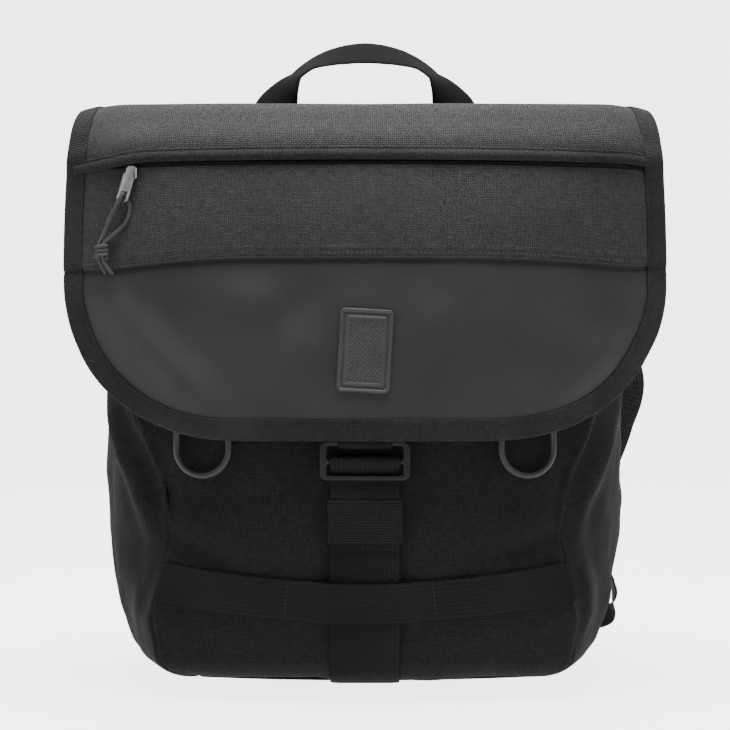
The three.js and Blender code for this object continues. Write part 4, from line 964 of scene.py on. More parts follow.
def sheet_on(surface, across, rows, relief, uv_width, sign=1):
    """Outer and inner grids of a cloth panel, with its places in millimetres for the weave."""
    a, c = np.meshgrid(across, rows)
    height = relief(a, c)
    step = (0.01, 0.5)
    outer = lifted(surface, a, c, sign * height, step)
    inner = lifted(surface, a, c, sign * (height - PANEL_THICKNESS), step)
    return outer, inner, np.stack([a * uv_width, c], axis=-1)


def body_rows(top):
    rounding = np.linspace(0, BASE_RADIUS * math.pi / 2, 14)[:-1]
    return np.concatenate([rounding, np.linspace(climb_to(BASE_RADIUS), climb_to(top), 150)])


def build_front():
    rows = body_rows(BODY_HEIGHT - MOUTH_DROP)
    grids = sheet_on(front_panel, np.linspace(-1, 1, 140), rows, front_relief, HALF_BACK * 0.8)
    dress(shell("front_cloth", *grids), BODY_CLOTH, node="front_panel")


SIDE_CREASES = {
    -1: [(26, 200, 17, 160, 7, -2.2), (17, 160, 4, 112, 7, -2.6), (36, 190, 26, 130, 11, 1.4),
         (8, 84, 24, 40, 8, -1.8), (44, 120, 30, 70, 11, -1.4)],
    1: [(22, 196, 14, 140, 9, 1.0), (12, 190, 5, 120, 7, -1.6), (10, 78, 7, 38, 5, -2.6),
        (20, 80, 17, 34, 8, 1.4), (46, 150, 34, 90, 12, -1.4)],
}


def side_relief(hand):
    """Creases of a side panel. The left one is fuller above the band."""
    def relief(across, climb):
        y = across * BODY_DEPTH
        z = section(climb)["z"]
        creases = folds(SIDE_CREASES[hand], y, z)
        soft = creases + 1.8 * unevenness(y + 90 * hand, z, 38, 5) + 0.8 * unevenness(y, z + 70 * hand, 15, 6)
        edge = -2.6 * (1 - smooth(y, 0, 4)) - 1.2 * (1 - smooth(BODY_DEPTH - y, 0, 4))
        fullness = (1.3 - 1.3 * hand) * np.exp(-((z - 120) / 60) ** 2) * np.sin(math.pi * across)
        return np.minimum(soft - 0.8 + fullness, 3.6) * smooth(z, 0, 30) + edge
    return relief


def build_side(name, hand):
    across = np.linspace(0.008, 1 - 1.4 / BODY_DEPTH, 70)
    rows = body_rows(BODY_HEIGHT - MOUTH_DROP)
    grids = sheet_on(side_panel(hand), across, rows, side_relief(hand), BODY_DEPTH, hand)
    dress(shell(f"side_cloth_{name}", *grids), BODY_CLOTH, node=f"side_panel_{name}")


def build_base():
    across = np.linspace(-1, 1, 60)
    right = side_panel(1)(np.linspace(0.02, 0.99, 30), 0.0)
    left = side_panel(-1)(np.linspace(0.99, 0.02, 30), 0.0)
    back = points(np.linspace(right[-1][0], left[0][0], 60)[1:-1], BACK_Y - GAP, 0)
    outline = np.concatenate([front_panel(across, 0.0), right, back, left])
    rings = [outline * (share, share, 0) for share in np.linspace(0.02, 0.985, 24)]
    rings += [ring + (0, 0, PANEL_THICKNESS) for ring in reversed(rings)]
    rings = np.array(rings)
    dress(tube("base_cloth", rings, rings[..., :2]), BODY_CLOTH, node="base_panel")


BACK_EDGE = 2.6


def back_thickness(s, climb):
    """Thickness of the padded back: full inside a welt, thin at its edge."""
    side = (1 - np.abs(s)) * section(climb)["back_x"]
    rim = np.minimum(side, np.minimum(climb_to(BODY_HEIGHT) - climb, climb + 6))
    soft = 0.5 * unevenness(s * 200, climb, 44, 8) - 0.5
    welt = 0.9 * np.exp(-((rim - 3.4) / 2) ** 2)
    padding = (BACK_PAD - BACK_EDGE + soft) * smooth(rim, 4, 17) ** 0.7
    return BACK_EDGE + padding + welt * (1 - smooth(rim, 6, 10)) - 1.2 * (1 - smooth(rim, 0, 2))


def build_back():
    rows = body_rows(BODY_HEIGHT)
    s, c = np.meshgrid(np.linspace(-1, 1, 104), rows)
    part = section(c)
    x = s * part["back_x"]
    outer = points(x, BACK_Y + back_thickness(s, c), part["z"])
    inner = points(x, BACK_Y + 0.1, part["z"])
    obj = shell("back_pad", outer, inner, np.stack([x, c], axis=-1))
    dress(obj, MESH, node="back_panel")


# Flap
FLAP_FOLDS = [
    (-190, 146, -112, 226, 13, 3.8), (-150, 138, -64, 236, 17, -3.8), (-92, 138, 16, 242, 22, 3.4),
    (58, 138, 118, 236, 20, -3.2), (196, 146, 128, 232, 14, 3.6), (148, 138, 200, 190, 15, -3.2),
    (-200, 178, -150, 232, 9, -2.4), (200, 182, 158, 232, 9, -2.2), (-30, 132, -70, 180, 14, -2.2),
    (88, 134, 40, 176, 14, 2.2),
]
HOOD_INSET = 6
HOOD_SLACK = 3
HOOD_DIP = 5
HOOD_DIP_AT = 146


def seam_sag(across):
    """How far the pocket's seam lies below its straight line: less in the middle, more at its ends."""
    return np.where(across < 0, 7.5, 5) * smooth(np.abs(across), 70, 215) ** 1.4 - 6


def flap_relief(across, along):
    """Soft wrinkles of the flap below its pocket, and a slight unevenness above."""
    drop = np.interp(along, [TOP_END, SEAM_AT, FLAP_LENGTH], [0, SEAM_DROP, FLAP_DROP])
    low = smooth(along, SEAM_AT, SEAM_AT + 26)
    calm = 1 - 0.9 * np.exp(-((across / 34) ** 4 + ((drop - LABEL_DROP) / 44) ** 4))
    wrinkles = folds(FLAP_FOLDS, across, drop) + 1.0 * unevenness(across, drop, 40, 11) + 0.9
    top = 0.8 * unevenness(across, along, 55, 12) * smooth(along, TOP_START, TOP_START + 40)
    groove = -0.8 * np.exp(-((along - SEAM_AT - seam_sag(across) - 1.6) / 2.6) ** 2)
    return low * wrinkles * calm + (1 - smooth(along, TOP_END - 20, TOP_END + 20)) * top + groove


def flap_surface(across, along):
    return lifted(plain_flap, across, along, -flap_relief(across, along))


CORNER_TURN = np.linspace(0, math.pi / 2, 60)[1:]
CORNER_ROWS = CORNER_AT + HEM_CORNER_HEIGHT * np.sin(CORNER_TURN) ** (2 / HEM_CORNER_POWER)
SHEET_LOW = FLAP_CLOTH / 2 + 0.1


def level(height):
    """A surface at one height over the flap."""
    return lambda u, v: np.full(u.shape, height)


def unmoved(u, v):
    return v


def under_binding(across, along, low):
    """Lower face of a panel: it sinks to the flap's cloth under the binding."""
    inset = flap_half(along) - np.abs(across)
    return lerp(SHEET_LOW, low, smooth(inset, BINDING_WIDTH - 2, BINDING_WIDTH + 9))


def flap_sheet(name, rows, columns, inset, low, top, settle=unmoved):
    """A sheet on the flap between two heights. settle gives the place along the flap where each row lies."""
    s, v = np.meshgrid(np.linspace(-1, 1, columns), rows)
    u = s * (flap_half(v) - inset)
    outer, inner = on_flap(u, settle(u, v), top(u, v)), on_flap(u, settle(u, v), low(u, v))
    return shell(name, outer, inner, np.stack([u, v], axis=-1))


def hood_dip(across):
    """How far the hood lies down the flap: it sinks at its left end, over the zip's slider."""
    return HOOD_SLACK + HOOD_DIP * (1 - smooth(across, -HOOD_DIP_AT - 55, -HOOD_DIP_AT))


def hood_bulge(across):
    """How far the hood stands up over the slider."""
    return 2.4 * np.exp(-((across - SLIDER_ACROSS * flap_half(ZIP_AT)) / 13) ** 2)


def hood_lift(across, along):
    """How much of its full lift the hood has: it sinks into the bindings at its ends."""
    return lerp(0.4, 1, smooth(flap_half(along) - np.abs(across), 10, 30))


def build_flap_base():
    rows = np.unique(np.concatenate([
        np.linspace(0, TOP_START, 30), np.linspace(TOP_START, SEAM_AT - 8, 120),
        np.linspace(SEAM_AT - 8, SEAM_AT + 10, 37), CORNER_ROWS,
    ]))
    obj = flap_sheet("flap_cloth", rows, 180, 0.0, level(-FLAP_CLOTH / 2), level(FLAP_CLOTH / 2))
    dress(obj, COATED, node="flap_base")
    spread = np.linspace(0, FLAP_LENGTH, 800)
    area = float(np.mean(2 * flap_half(spread)) * FLAP_LENGTH) * MM * MM
    flat_size = (float(2 * flap_half(spread).max()) * MM, FLAP_LENGTH * MM)


def build_top_panel():
    def low(u, v):
        near = smooth(v, HOOD_AT - ZIP_WIDTH * 1.5, HOOD_AT - ZIP_WIDTH / 2)
        rise = (HOOD_LIFT - PANEL_LOW) * hood_lift(u, v) + hood_bulge(u)
        return under_binding(u, v, PANEL_LOW) + near * rise

    def top(u, v):
        return low(u, v) + PANEL_CLOTH - 0.05

    def settle(u, v):
        return v + hood_dip(u) * smooth(v, TOP_END, HOOD_AT - HOOD_WIDTH)

    above = np.linspace(TOP_START, HOOD_AT - HOOD_WIDTH / 2, 130)
    rows = np.concatenate([np.linspace(1.5, TOP_START, 26)[:-1], above])
    obj = flap_sheet("top_canvas", rows, 170, 4, low, top, settle)
    dress(obj, CANVAS, node="flap_top_panel")


def sagging(u, v):
    """Where a row of the pocket lies on the flap: it follows the seam's sag more towards the seam."""
    return v + seam_sag(u) * np.clip((v - ZIP_AT) / (SEAM_AT - ZIP_AT), 0, 1)


def build_pocket_panel():
    def low(u, v):
        fill = 1.4 * np.sin(math.pi * np.clip((v - ZIP_AT) / (SEAM_AT - ZIP_AT), 0, 1)) ** 1.5
        fill = fill * (1 - (np.abs(u) / flap_half(v)) ** 4) + 0.4 * unevenness(u, v, 44, 14)
        hem = smooth(SEAM_AT - v, 0, 7)
        return under_binding(u, v, POCKET_LOW + (fill + 0.3) * hem) - 0.5 * (1 - hem)

    def top(u, v):
        fold = 0.25 * (1 - smooth(SEAM_AT - v, 7, 8.6)) - 0.5 * (1 - smooth(SEAM_AT - v, 0, 0.8))
        return low(u, v) + PANEL_CLOTH + fold

    start = ZIP_AT + COIL_WIDTH / 2 + 1.5
    rows = np.concatenate([np.linspace(start, SEAM_AT - 9, 60)[:-1], np.linspace(SEAM_AT - 9, SEAM_AT, 24)])
    obj = flap_sheet("pocket_canvas", rows, 160, 4, low, top, sagging)
    dress(obj, CANVAS, node="flap_pocket_panel")


TOOTH_PITCH = 2.2


def build_zip_tape():
    def top(u, v):
        coil = np.clip(1 - (np.abs(v - ZIP_AT) / (COIL_WIDTH / 2)) ** 2, 0, 1) ** 0.5
        ends = smooth(flap_half(v) - np.abs(u), 25, 28)
        split = 1 - 0.7 * np.exp(-((v - ZIP_AT) / 0.5) ** 2)
        teeth = 0.65 + 0.35 * np.cos(2 * math.pi * u / TOOTH_PITCH)
        return ZIP_TOP + COIL_HEIGHT * coil * ends * split * teeth

    across = np.array([-ZIP_WIDTH / 2, *np.linspace(-3, 3, 11), ZIP_WIDTH / 2])
    obj = flap_sheet("zip_teeth_tape", ZIP_AT + across, 1400, 8, level(SHEET_LOW), top)
    dress(obj, COIL, node="zip_tape")


def hood_profile():
    """The rolled edge of the hood in section: places along the flap from the hood's edge, and heights."""
    thick = PANEL_CLOTH / 2 + GAP + BINDING_TAPE
    roll_top = thick + 1.1
    turn = np.linspace(math.pi / 2, -math.pi / 2, 13)
    nose = [(-2.7 + 3.3 * math.cos(a), lerp(roll_top, thick, 0.5 - 0.5 * math.sin(a)) * math.sin(a))
            for a in turn]
    return np.array([
        (-HOOD_WIDTH, thick - 0.9), (-HOOD_WIDTH + 0.1, thick - 0.3), (-HOOD_WIDTH + 0.6, thick - 0.1),
        (-7.2, thick), (-6.7, thick - 0.25), (-6.2, thick + 0.1), (-5.2, roll_top - 0.5),
        (-4, roll_top - 0.1),
        *nose, (-6, -thick), (-HOOD_WIDTH, -thick),
        (-HOOD_WIDTH, -thick + 0.9), (-2.8, -thick + 0.9), (-1.6, 0), (-2.8, thick - 0.9),
    ])


def build_hood():
    profile = hood_profile()
    along, height = profile.T
    u = np.linspace(-1, 1, 420)[:, None] * (flap_half(HOOD_AT) - HOOD_INSET)
    u, v = np.broadcast_arrays(u, HOOD_AT + along)
    slack = 0.35 * unevenness(u, 0 * u, 26, 15)
    sunk = (HOOD_LIFT - PANEL_LOW) * (1 - hood_lift(u, v))
    lift = HOOD_LIFT + PANEL_CLOTH / 2 + height + slack - sunk + hood_bulge(u)
    run = np.broadcast_to(lengths(profile), v.shape)
    obj = tube("hood_tape", on_flap(u, v + 0.3 * slack + hood_dip(u), lift), np.stack([run, u], axis=-1))
    dress(obj, TAPE, node="zip_hood")


def edge_path(step=1.6):
    """Places (across, along) on the flap's free edge: down the left side, along the hem, up the right."""
    rows = np.concatenate([np.linspace(0, CORNER_AT, 220), CORNER_ROWS])
    half = flap_half(rows)
    hem = np.linspace(-half[-1], half[-1], 100)[1:-1]
    left = np.stack([-half, rows], -1)
    path = np.concatenate([left, np.stack([hem, np.full(98, FLAP_LENGTH)], -1), (left * (-1, 1))[::-1]])
    run = lengths(flap_surface(path[:, 0], path[:, 1]))
    even = np.linspace(0, run[-1], int(run[-1] / step))
    path = np.stack([np.interp(even, run, path[:, 0]), np.interp(even, run, path[:, 1])], -1)
    way = directions(path)
    return path, way, even


def binding_top(along):
    """Height of the binding's upper face: it lies over the hood and the pocket."""
    low = lerp(3.3, BINDING_SKIN, smooth(along, SEAM_AT - 1, SEAM_AT + 5))
    return low + 3.1 * np.exp(-((along - HOOD_AT + 4) / 9) ** 2)


def binding_profile():
    """The folded tape in section: place inward from the edge, share of the upper height, and lift."""
    w, edge = BINDING_WIDTH, GAP + BINDING_TAPE
    upper = [(w, -0.95), (w - 0.05, -0.3), (w - 0.5, 0), (w - 2.6, 0.06), (w - 3.1, -0.14), (w - 3.6, 0.06),
             (w - 7, 0.1), (4, 0.05), (2, -0.05), (0.8, -0.25)]
    fold = [(0, 0.76), (-edge * 0.75, 0.46), (-edge, 0)]
    lower = [(-edge * 0.75, -0.5), (0, -0.86), (2, -1), (w - 0.4, -1), (w, -0.9), (w, -0.56), (1, -0.56),
             (0, -0.3), (-GAP, 0)]
    inside = [(0, 0.3), (1, 0.5)]
    rows = [(x, 1, lift) for x, lift in upper] + [(x, share, 0) for x, share in fold]
    rows += [(x, 0, BINDING_SKIN * share) for x, share in lower] + [(x, share, 0) for x, share in inside]
    return np.array(rows)


BINDING_SEAM = 3.1


def build_binding():
    path, way, run = edge_path()
    top = binding_top(path[:, 1])
    inward, of_top, lift = binding_profile().T
    height = top[:, None] * of_top + lift
    u = path[:, :1] + way[:, 1:] * inward
    v = path[:, 1:] - way[:, :1] * inward
    rings = on_flap(u, v, height)
    across = np.concatenate([[0], np.cumsum(np.abs(np.diff(inward)))])
    uv = np.stack(np.broadcast_arrays(across[None], run[:, None]), axis=-1)
    dress(tube("binding_tape", rings, uv), TAPE, node="flap_binding")


def binding_row():
    """Stitches along the binding."""
    path, way, _ = edge_path(4.2)
    path, way = path[4:-4], way[4:-4]
    inset = BINDING_WIDTH - BINDING_SEAM
    u, v = path[:, 0] + way[:, 1] * inset, path[:, 1] - way[:, 0] * inset
    at = on_flap(u, v, binding_top(path[:, 1]) + 0.05)
    ahead = on_flap(u + way[:, 0], v + way[:, 1], binding_top(path[:, 1]))
    normal = unit(on_flap(u, v, 1.0) - on_flap(u, v, 0.0))
    return at, ahead - at, normal


def flap_row(at, height, pitch=3.6, inset=16, lift=0.1, settle=sagging):
    """A stitch row across the flap."""
    half = float(flap_half(at)) - inset
    u = np.arange(-half, half, pitch)
    v = np.full_like(u, at)
    w = settle(u, v)
    spots = on_flap(u, w, height(u, v) + lift)
    way = on_flap(u + 1, w, height(u, v) + lift) - spots
    return spots, way, unit(on_flap(u, w, 1.0) - on_flap(u, w, 0.0))


LABEL_CORNER = 4
LABEL_SEAM = 3.8
LATTICE_PITCH = 3.1
LABEL_LOW = PANEL_LOW - 0.3


def on_label(x, y, lift):
    """A place on the leaning patch: right and up from its middle, and its height over the flap."""
    lean = math.radians(LABEL_LEAN)
    u = x * math.cos(lean) + y * math.sin(lean)
    v = fall_to(LABEL_DROP) + x * math.sin(lean) - y * math.cos(lean)
    return on_flap(u, v, lift)


def label_height(x, y, inset):
    """A plain raised border, a ridge inside it and a field of small diamonds."""
    rim = smooth(inset, 0, 0.9) * (1 - smooth(inset, 2.0, 2.6))
    ridge = smooth(inset, 5.2, 5.7) * (1 - smooth(inset, 6.9, 7.4))
    field = smooth(inset, 7.2, 8.0)
    rising, falling = (x + y) * math.pi / LATTICE_PITCH, (x - y) * math.pi / LATTICE_PITCH
    lattice = np.abs(np.sin(rising)) * np.abs(np.sin(falling))
    height = 1.25 + 0.95 * rim + 0.8 * ridge - 0.25 * field + 0.75 * field * smooth(lattice, 0.25, 0.7)
    return height * smooth(inset, 0, 0.25) + 0.25


def build_label():
    X, Y = np.meshgrid(np.linspace(-1, 1, 84), np.linspace(-1, 1, 130))
    w, h, r = LABEL_WIDTH / 2, LABEL_HEIGHT / 2, LABEL_CORNER
    x, y = X * w, Y * h
    dx, dy = np.maximum(np.abs(x) - (w - r), 0), np.maximum(np.abs(y) - (h - r), 0)
    squeeze = np.where(dx * dy > 0, np.maximum(dx, dy) / np.maximum(np.hypot(dx, dy), 1e-9), 1)
    x = np.sign(x) * (np.minimum(np.abs(x), w - r) + dx * squeeze)
    y = np.sign(y) * (np.minimum(np.abs(y), h - r) + dy * squeeze)
    inset = np.minimum(w * (1 - np.abs(X)), h * (1 - np.abs(Y)))
    top, low = on_label(x, y, LABEL_LOW + label_height(x, y, inset)), on_label(x, y, LABEL_LOW)
    dress(shell("rubber_patch", top, low, np.stack([x, y], -1)), RUBBER, node="label_patch")


def box_rows(points_of, corners, pitch, normal, crossed=False):
    """Stitch rows round a box, and across it from corner to corner."""
    pairs = list(zip(corners, corners[1:] + corners[:1]))
    if crossed:
        pairs += [(corners[0], corners[2]), (corners[1], corners[3])]
    return [row_of(points_of, a, b, pitch, normal) for a, b in pairs]


def label_rows():
    x, y = LABEL_WIDTH / 2 - LABEL_SEAM, LABEL_HEIGHT / 2 - LABEL_SEAM
    corners = [(-x, -y), (x, -y), (x, y), (-x, y)]
    return box_rows(lambda u, v: on_label(u, v, LABEL_LOW + 1.75), corners, 3.6, TO_FRONT)


# Zip pull
SLIDER_AT = HOOD_AT + SLIDER_LENGTH / 2 + GAP
TAB_AT = SLIDER_AT + SLIDER_LENGTH / 2
TAB_LOW = ZIP_TOP + COIL_HEIGHT + GAP + SLIDER_HEIGHT + GAP + TAB_THICKNESS / 2
BRAID = dict(ridges=0.07, twist=1.5)
KNOT_TURNS = 3.1
CORD_LINE = [
    (-0.34, 1.36, 0.05), (-0.4, 1.14, 0.8), (-0.4, 0.86, 0.8), (-0.34, 0.68, 0.6), (-0.25, 0.46, 0.7),
    (-0.1, 0.2, 1), (-0.02, 0.05, 1), (0, -0.03, 0.6), (0.02, 0.04, 0.1), (0.08, 0.2, 0.02),
    (0.02, 0.46, 0.02), (-0.2, 0.7, 0.4), (-0.325, 0.86, 0.8), (-0.325, 1.14, 0.8), (-0.22, 1.38, 0.05),
]


def cord_place(across, down, lift):
    """A place of the cord: across and down from the tab's hole, and its lift from the pocket to the tab."""
    slider = SLIDER_ACROSS * float(flap_half(ZIP_AT))
    reach = TAB_LENGTH - TAB_HOLE_EDGE - TAB_HOLE / 2
    lean = math.radians(TAB_LEAN)
    start = slider - reach * math.sin(lean), TAB_AT + reach * math.cos(lean)
    low = POCKET_LOW + PANEL_CLOTH + GAP + CORD_DIAMETER / 2
    high = TAB_LOW + TAB_THICKNESS / 2 + GAP + CORD_DIAMETER / 2
    u = start[0] + np.asarray(across) * CORD_DROP
    v = start[1] + np.asarray(down) * CORD_DROP
    return lifted(plain_flap, u, v, -(low + (high - low) * np.asarray(lift) + 0.5))


def build_cord():
    line = cord_place(*np.array(CORD_LINE).T)
    (smooth_line,) = curve_through(line, 0.8)
    cord = sweep("pull_cord_braid", smooth_line, CORD_DIAMETER / 2, 14, **BRAID)
    dress(cord, CORD, node="pull_cord")
    wraps = build_knot()
    real = float(lengths(smooth_line)[-1])


def build_knot():
    """The cord wound round itself."""
    turns = np.linspace(0, KNOT_TURNS * 2 * math.pi, 150)
    above, below = cord_place(-0.3625, 0.885, 0.8), cord_place(-0.3625, 1.115, 0.8)
    axis = unit(below - above)
    side = unit(np.cross(axis, (0, 1, 0)))
    front = np.cross(axis, side)
    wide, deep = CORD_DIAMETER * 1.38, CORD_DIAMETER * 1.02
    swell = 1 + 0.1 * np.sin(turns / 2)
    helix = above + np.outer(turns / turns[-1], below - above)
    helix = helix + np.outer(np.cos(turns) * wide * swell, side)
    helix = helix + np.outer(np.sin(turns) * deep * swell, front)
    wraps = sweep("pull_knot_wraps", helix, CORD_DIAMETER / 2, 12, **BRAID)
    return dress(wraps, CORD, node="pull_knot")


# Centre strap, keeper, buckle, band and rings
def strap_surface(z):
    """Depth of the front panel's middle at a height."""
    return front_panel(0.0, climb_to(np.asarray(z, float)))[..., 1]


BUCKLE_LAYER = GAP + WEBBING
BUCKLE_TOP = BUCKLE_FOOT + LOWER_BAR + LOWER_SLOT + CROSSBAR + UPPER_SLOT + TOP_BAR
BUCKLE_Y = float(strap_surface(BUCKLE_FOOT)) - 2 * BUCKLE_LAYER - GAP - BUCKLE_THICKNESS / 2
CROSSBAR_Z = BUCKLE_FOOT + LOWER_BAR + LOWER_SLOT + CROSSBAR / 2
KEPT_STRAP = GAP + KEEPER_TAPE + GAP + WEBBING / 2
KEPT_Y = float(strap_surface(np.linspace(KEEPER_FOOT, KEEPER_FOOT + KEEPER_HEIGHT, 5)).min()) - KEPT_STRAP


def strap_layer(z, count):
    """A place of the strap with so many layers under it."""
    return 0, float(strap_surface(z)) - GAP - WEBBING / 2 - count * BUCKLE_LAYER, z


def strap_line():
    """The centre strap: up from the base, round the buckle's crossbar and down over itself."""
    near = GAP + WEBBING / 2
    start = on_front(0.0, np.linspace(BASE_RADIUS * math.radians(27), climb_to(BASE_RADIUS), 4), near)
    foot_z = np.linspace(30, 58, 3)
    foot = points(0, lerp(strap_surface(foot_z) - near, KEPT_Y, smooth(foot_z, 17, 58)), foot_z)
    turn_y, turn_z = BUCKLE_THICKNESS / 2 + GAP + WEBBING / 2, CROSSBAR / 2 + GAP + WEBBING / 2
    rest = [
        (0, KEPT_Y, KEEPER_FOOT - 3), (0, KEPT_Y, KEEPER_FOOT + KEEPER_HEIGHT + 2),
        strap_layer(BUCKLE_FOOT - 2, 0), strap_layer(BUCKLE_FOOT + LOWER_BAR, 0),
        (0, BUCKLE_Y + turn_y, CROSSBAR_Z - 1), (0, BUCKLE_Y + turn_y, CROSSBAR_Z + turn_z - 1),
        (0, BUCKLE_Y + turn_y - 1, CROSSBAR_Z + turn_z), (0, BUCKLE_Y - turn_y + 1, CROSSBAR_Z + turn_z),
        (0, BUCKLE_Y - turn_y, CROSSBAR_Z + turn_z - 1), (0, BUCKLE_Y - turn_y, CROSSBAR_Z - 1),
        strap_layer(BUCKLE_FOOT + LOWER_BAR, 1), strap_layer(BUCKLE_FOOT - 2, 1),
        (0, KEPT_Y - BUCKLE_LAYER, KEEPER_FOOT + KEEPER_HEIGHT + 1), (0, KEPT_Y - BUCKLE_LAYER, STRAP_END),
    ]
    return np.concatenate([start[:-1], foot, np.array(rest)])


def build_strap():
    line = strap_line()
    obj = ribbon("centre_webbing", line, np.tile((1.0, 0, 0), (len(line), 1)), STRAP_WIDTH, WEBBING, 1.6)
    dress(obj, WEB, node="centre_strap")


KEEPER_RIB = 1.8
KEEPER_ROWS = 130


def build_keeper():
    middle = KEPT_Y - BUCKLE_LAYER / 2
    deep = BUCKLE_LAYER / 2 + WEBBING / 2 + GAP
    loop = np.array(rounded_box(-STRAP_WIDTH / 2 - GAP, STRAP_WIDTH / 2 + GAP, -deep, deep, 1.4, 6))
    closed = np.column_stack([np.vstack([loop, loop[:1]]), np.zeros(len(loop) + 1)])
    loop = curve_through(closed, 2.0)[0][:-1, :2]
    way = unit(np.roll(loop, -1, 0) - np.roll(loop, 1, 0))
    out = np.stack([way[:, 1], -way[:, 0]], -1)
    z = np.linspace(0, KEEPER_HEIGHT, KEEPER_ROWS)
    ribs = KEEPER_TAPE - 0.45 + 0.45 * np.abs(np.sin(math.pi * z / KEEPER_RIB)) ** 0.7
    ribs = ribs - 0.5 * (np.minimum(z, KEEPER_HEIGHT - z) < 0.3)
    profile = np.concatenate([np.stack([ribs, z], -1), np.stack([np.full(KEEPER_ROWS, 0.05), z[::-1]], -1)])
    rings = np.stack([
        points(p[0] + o[0] * profile[:, 0], middle + p[1] + o[1] * profile[:, 0], KEEPER_FOOT + profile[:, 1])
        for p, o in zip(loop, out)
    ])
    run = lengths(np.column_stack([loop, np.zeros(len(loop))]))
    uv = np.stack(np.broadcast_arrays(run[:, None], profile[None, :, 1]), -1)
    dress(tube("elastic_keeper", rings, uv, closed=True), ELASTIC, node="strap_keeper")


def planar_uv(obj):
    """UVs in metres straight from a flat mesh's x and y."""
    mesh = obj.data
    spots = np.empty(len(mesh.vertices) * 3)
    mesh.vertices.foreach_get("co", spots)
    index = np.empty(len(mesh.loops), int)
    mesh.loops.foreach_get("vertex_index", index)
    flat = spots.reshape(-1, 3)[:, :2][index]
    layer = mesh.uv_layers.get("cloth") or mesh.uv_layers.new(name="cloth")
    layer.data.foreach_set("uv", flat.ravel())
    return obj


def loop_line(bar_height, bar_thickness, run):
    """Line of webbing down one side of a neck, round a bar at the origin and up again: y and z."""
    y, z = bar_thickness / 2 + GAP + WEBBING / 2, bar_height / 2 + GAP + WEBBING / 2
    neck = z + WEBBING * 2.5
    side = WEBBING / 2 + 0.04
    half = [(side, run), (side, neck + 3), (side + 0.2, neck), (y, z * 0.7), (y, -z * 0.4),
            (y * 0.7, -z * 0.85), (y * 0.25, -z)]
    line = half + [(-a, b) for a, b in reversed(half)]
    return np.array([(0, a, b) for a, b in line])


def tab(name, width, bar_height, bar_thickness, run, axes, at, node):
    """Webbing folded round a bar that lies at a place, with the axes that it stands in."""
    line = loop_line(bar_height, bar_thickness, run)
    obj = ribbon(name, line, np.tile((1.0, 0, 0), (len(line), 1)), width, WEBBING, 1.2)
    dress(place(obj, *axes, at), WEB, node=node)


def leaning(facing, degrees):
    """Axes of a tab that faces a way round the upright, in radians, and leans over."""
    c, s = math.cos(facing), math.sin(facing)
    cl, sl = math.cos(math.radians(degrees)), math.sin(math.radians(degrees))
    return (c, s, 0), (-s * cl, c * cl, sl), (s * sl, -c * sl, cl)


BUCKLE_PLAY = 2


def build_buckle():
    inner = STRAP_WIDTH / 2 + BUCKLE_PLAY
    outer = inner + BUCKLE_WALL
    low = BUCKLE_FOOT + LOWER_BAR
    high = low + LOWER_SLOT + CROSSBAR
    outline = rounded_box(-outer, outer, BUCKLE_FOOT, BUCKLE_TOP, BUCKLE_CORNER + 0.5, 9)
    slots = [rounded_box(-inner, inner, low, low + LOWER_SLOT, 1.6),
             rounded_box(-inner, inner, high, high + UPPER_SLOT, 2.2)]
    obj = plate("buckle_frame", outline, slots, BUCKLE_THICKNESS, 1.2)
    dress(place(obj, *FACING_FRONT, (0, BUCKLE_Y, 0)), DARK_PLASTIC, node="centre_buckle")
    tab("buckle_loop", BUCKLE_TAB, TOP_BAR, BUCKLE_THICKNESS, BUCKLE_TAB_RUN, leaning(0, BUCKLE_TAB_LEAN),
        (0, BUCKLE_Y, BUCKLE_TOP - TOP_BAR / 2), "buckle_tab")


BAND_STITCHES = (-56.5, 49.4)


def band_surface(across, share):
    """The front panel under the sagging band: share is 0 at its lower edge and 1 at its upper one."""
    foot = BAND_FOOT - BAND_SAG * (1 - across**2)
    return front_panel(across, climb_to(foot + share * BAND_HEIGHT))


def band_low(across):
    """The band's height over the panel: it rises over the strap."""
    over = KEPT_STRAP + WEBBING / 2 + GAP + BAND_SLACK
    return 2 * GAP + (over - 2 * GAP) * (1 - smooth(np.abs(across), 0.17, 0.3))


def band_lift(across, share, height):
    across, share = np.broadcast_arrays(np.asarray(across, float), share)
    slack = 0.5 * unevenness(across * HALF_BACK * 0.8, share * BAND_HEIGHT, 24, 21) + 0.5
    slack = slack * smooth(1 - np.abs(across), 0.02, 0.1)
    return lifted(band_surface, across, share, band_low(across) + height + slack, (0.01, 0.02))


def on_band(across, share):
    return band_lift(across, share, WEBBING + 0.05)


def build_band():
    reach = 1 - 2 / HALF_BACK
    a, t = np.meshgrid(np.linspace(-reach, reach, 260), (strap_profile(13)[:13, 0] + 1) / 2)
    edge = (1 - np.abs(2 * t - 1) ** 10) ** 0.5
    outer = band_lift(a, t, WEBBING / 2 * (1 + edge))
    inner = band_lift(a, t, WEBBING / 2 * (1 - edge) + 0.02)
    uv = np.stack([t * BAND_HEIGHT, a * HALF_BACK * 0.75], axis=-1)
    dress(shell("lash_webbing", outer, inner, uv), WEB, node="lash_band")


def band_rows():
    places = [x / (HALF_BACK * 0.74) for x in BAND_STITCHES]
    return [row_of(on_band, (share, 0.06), (share, 0.94), 2.6, TO_FRONT) for share in places]


def bow(radius, drop):
    """The round end of a D, below a drop."""
    return [(radius * math.cos(a), -drop - radius * math.sin(a)) for a in np.linspace(0, math.pi, 40)]


RING_CORNER = 2.2


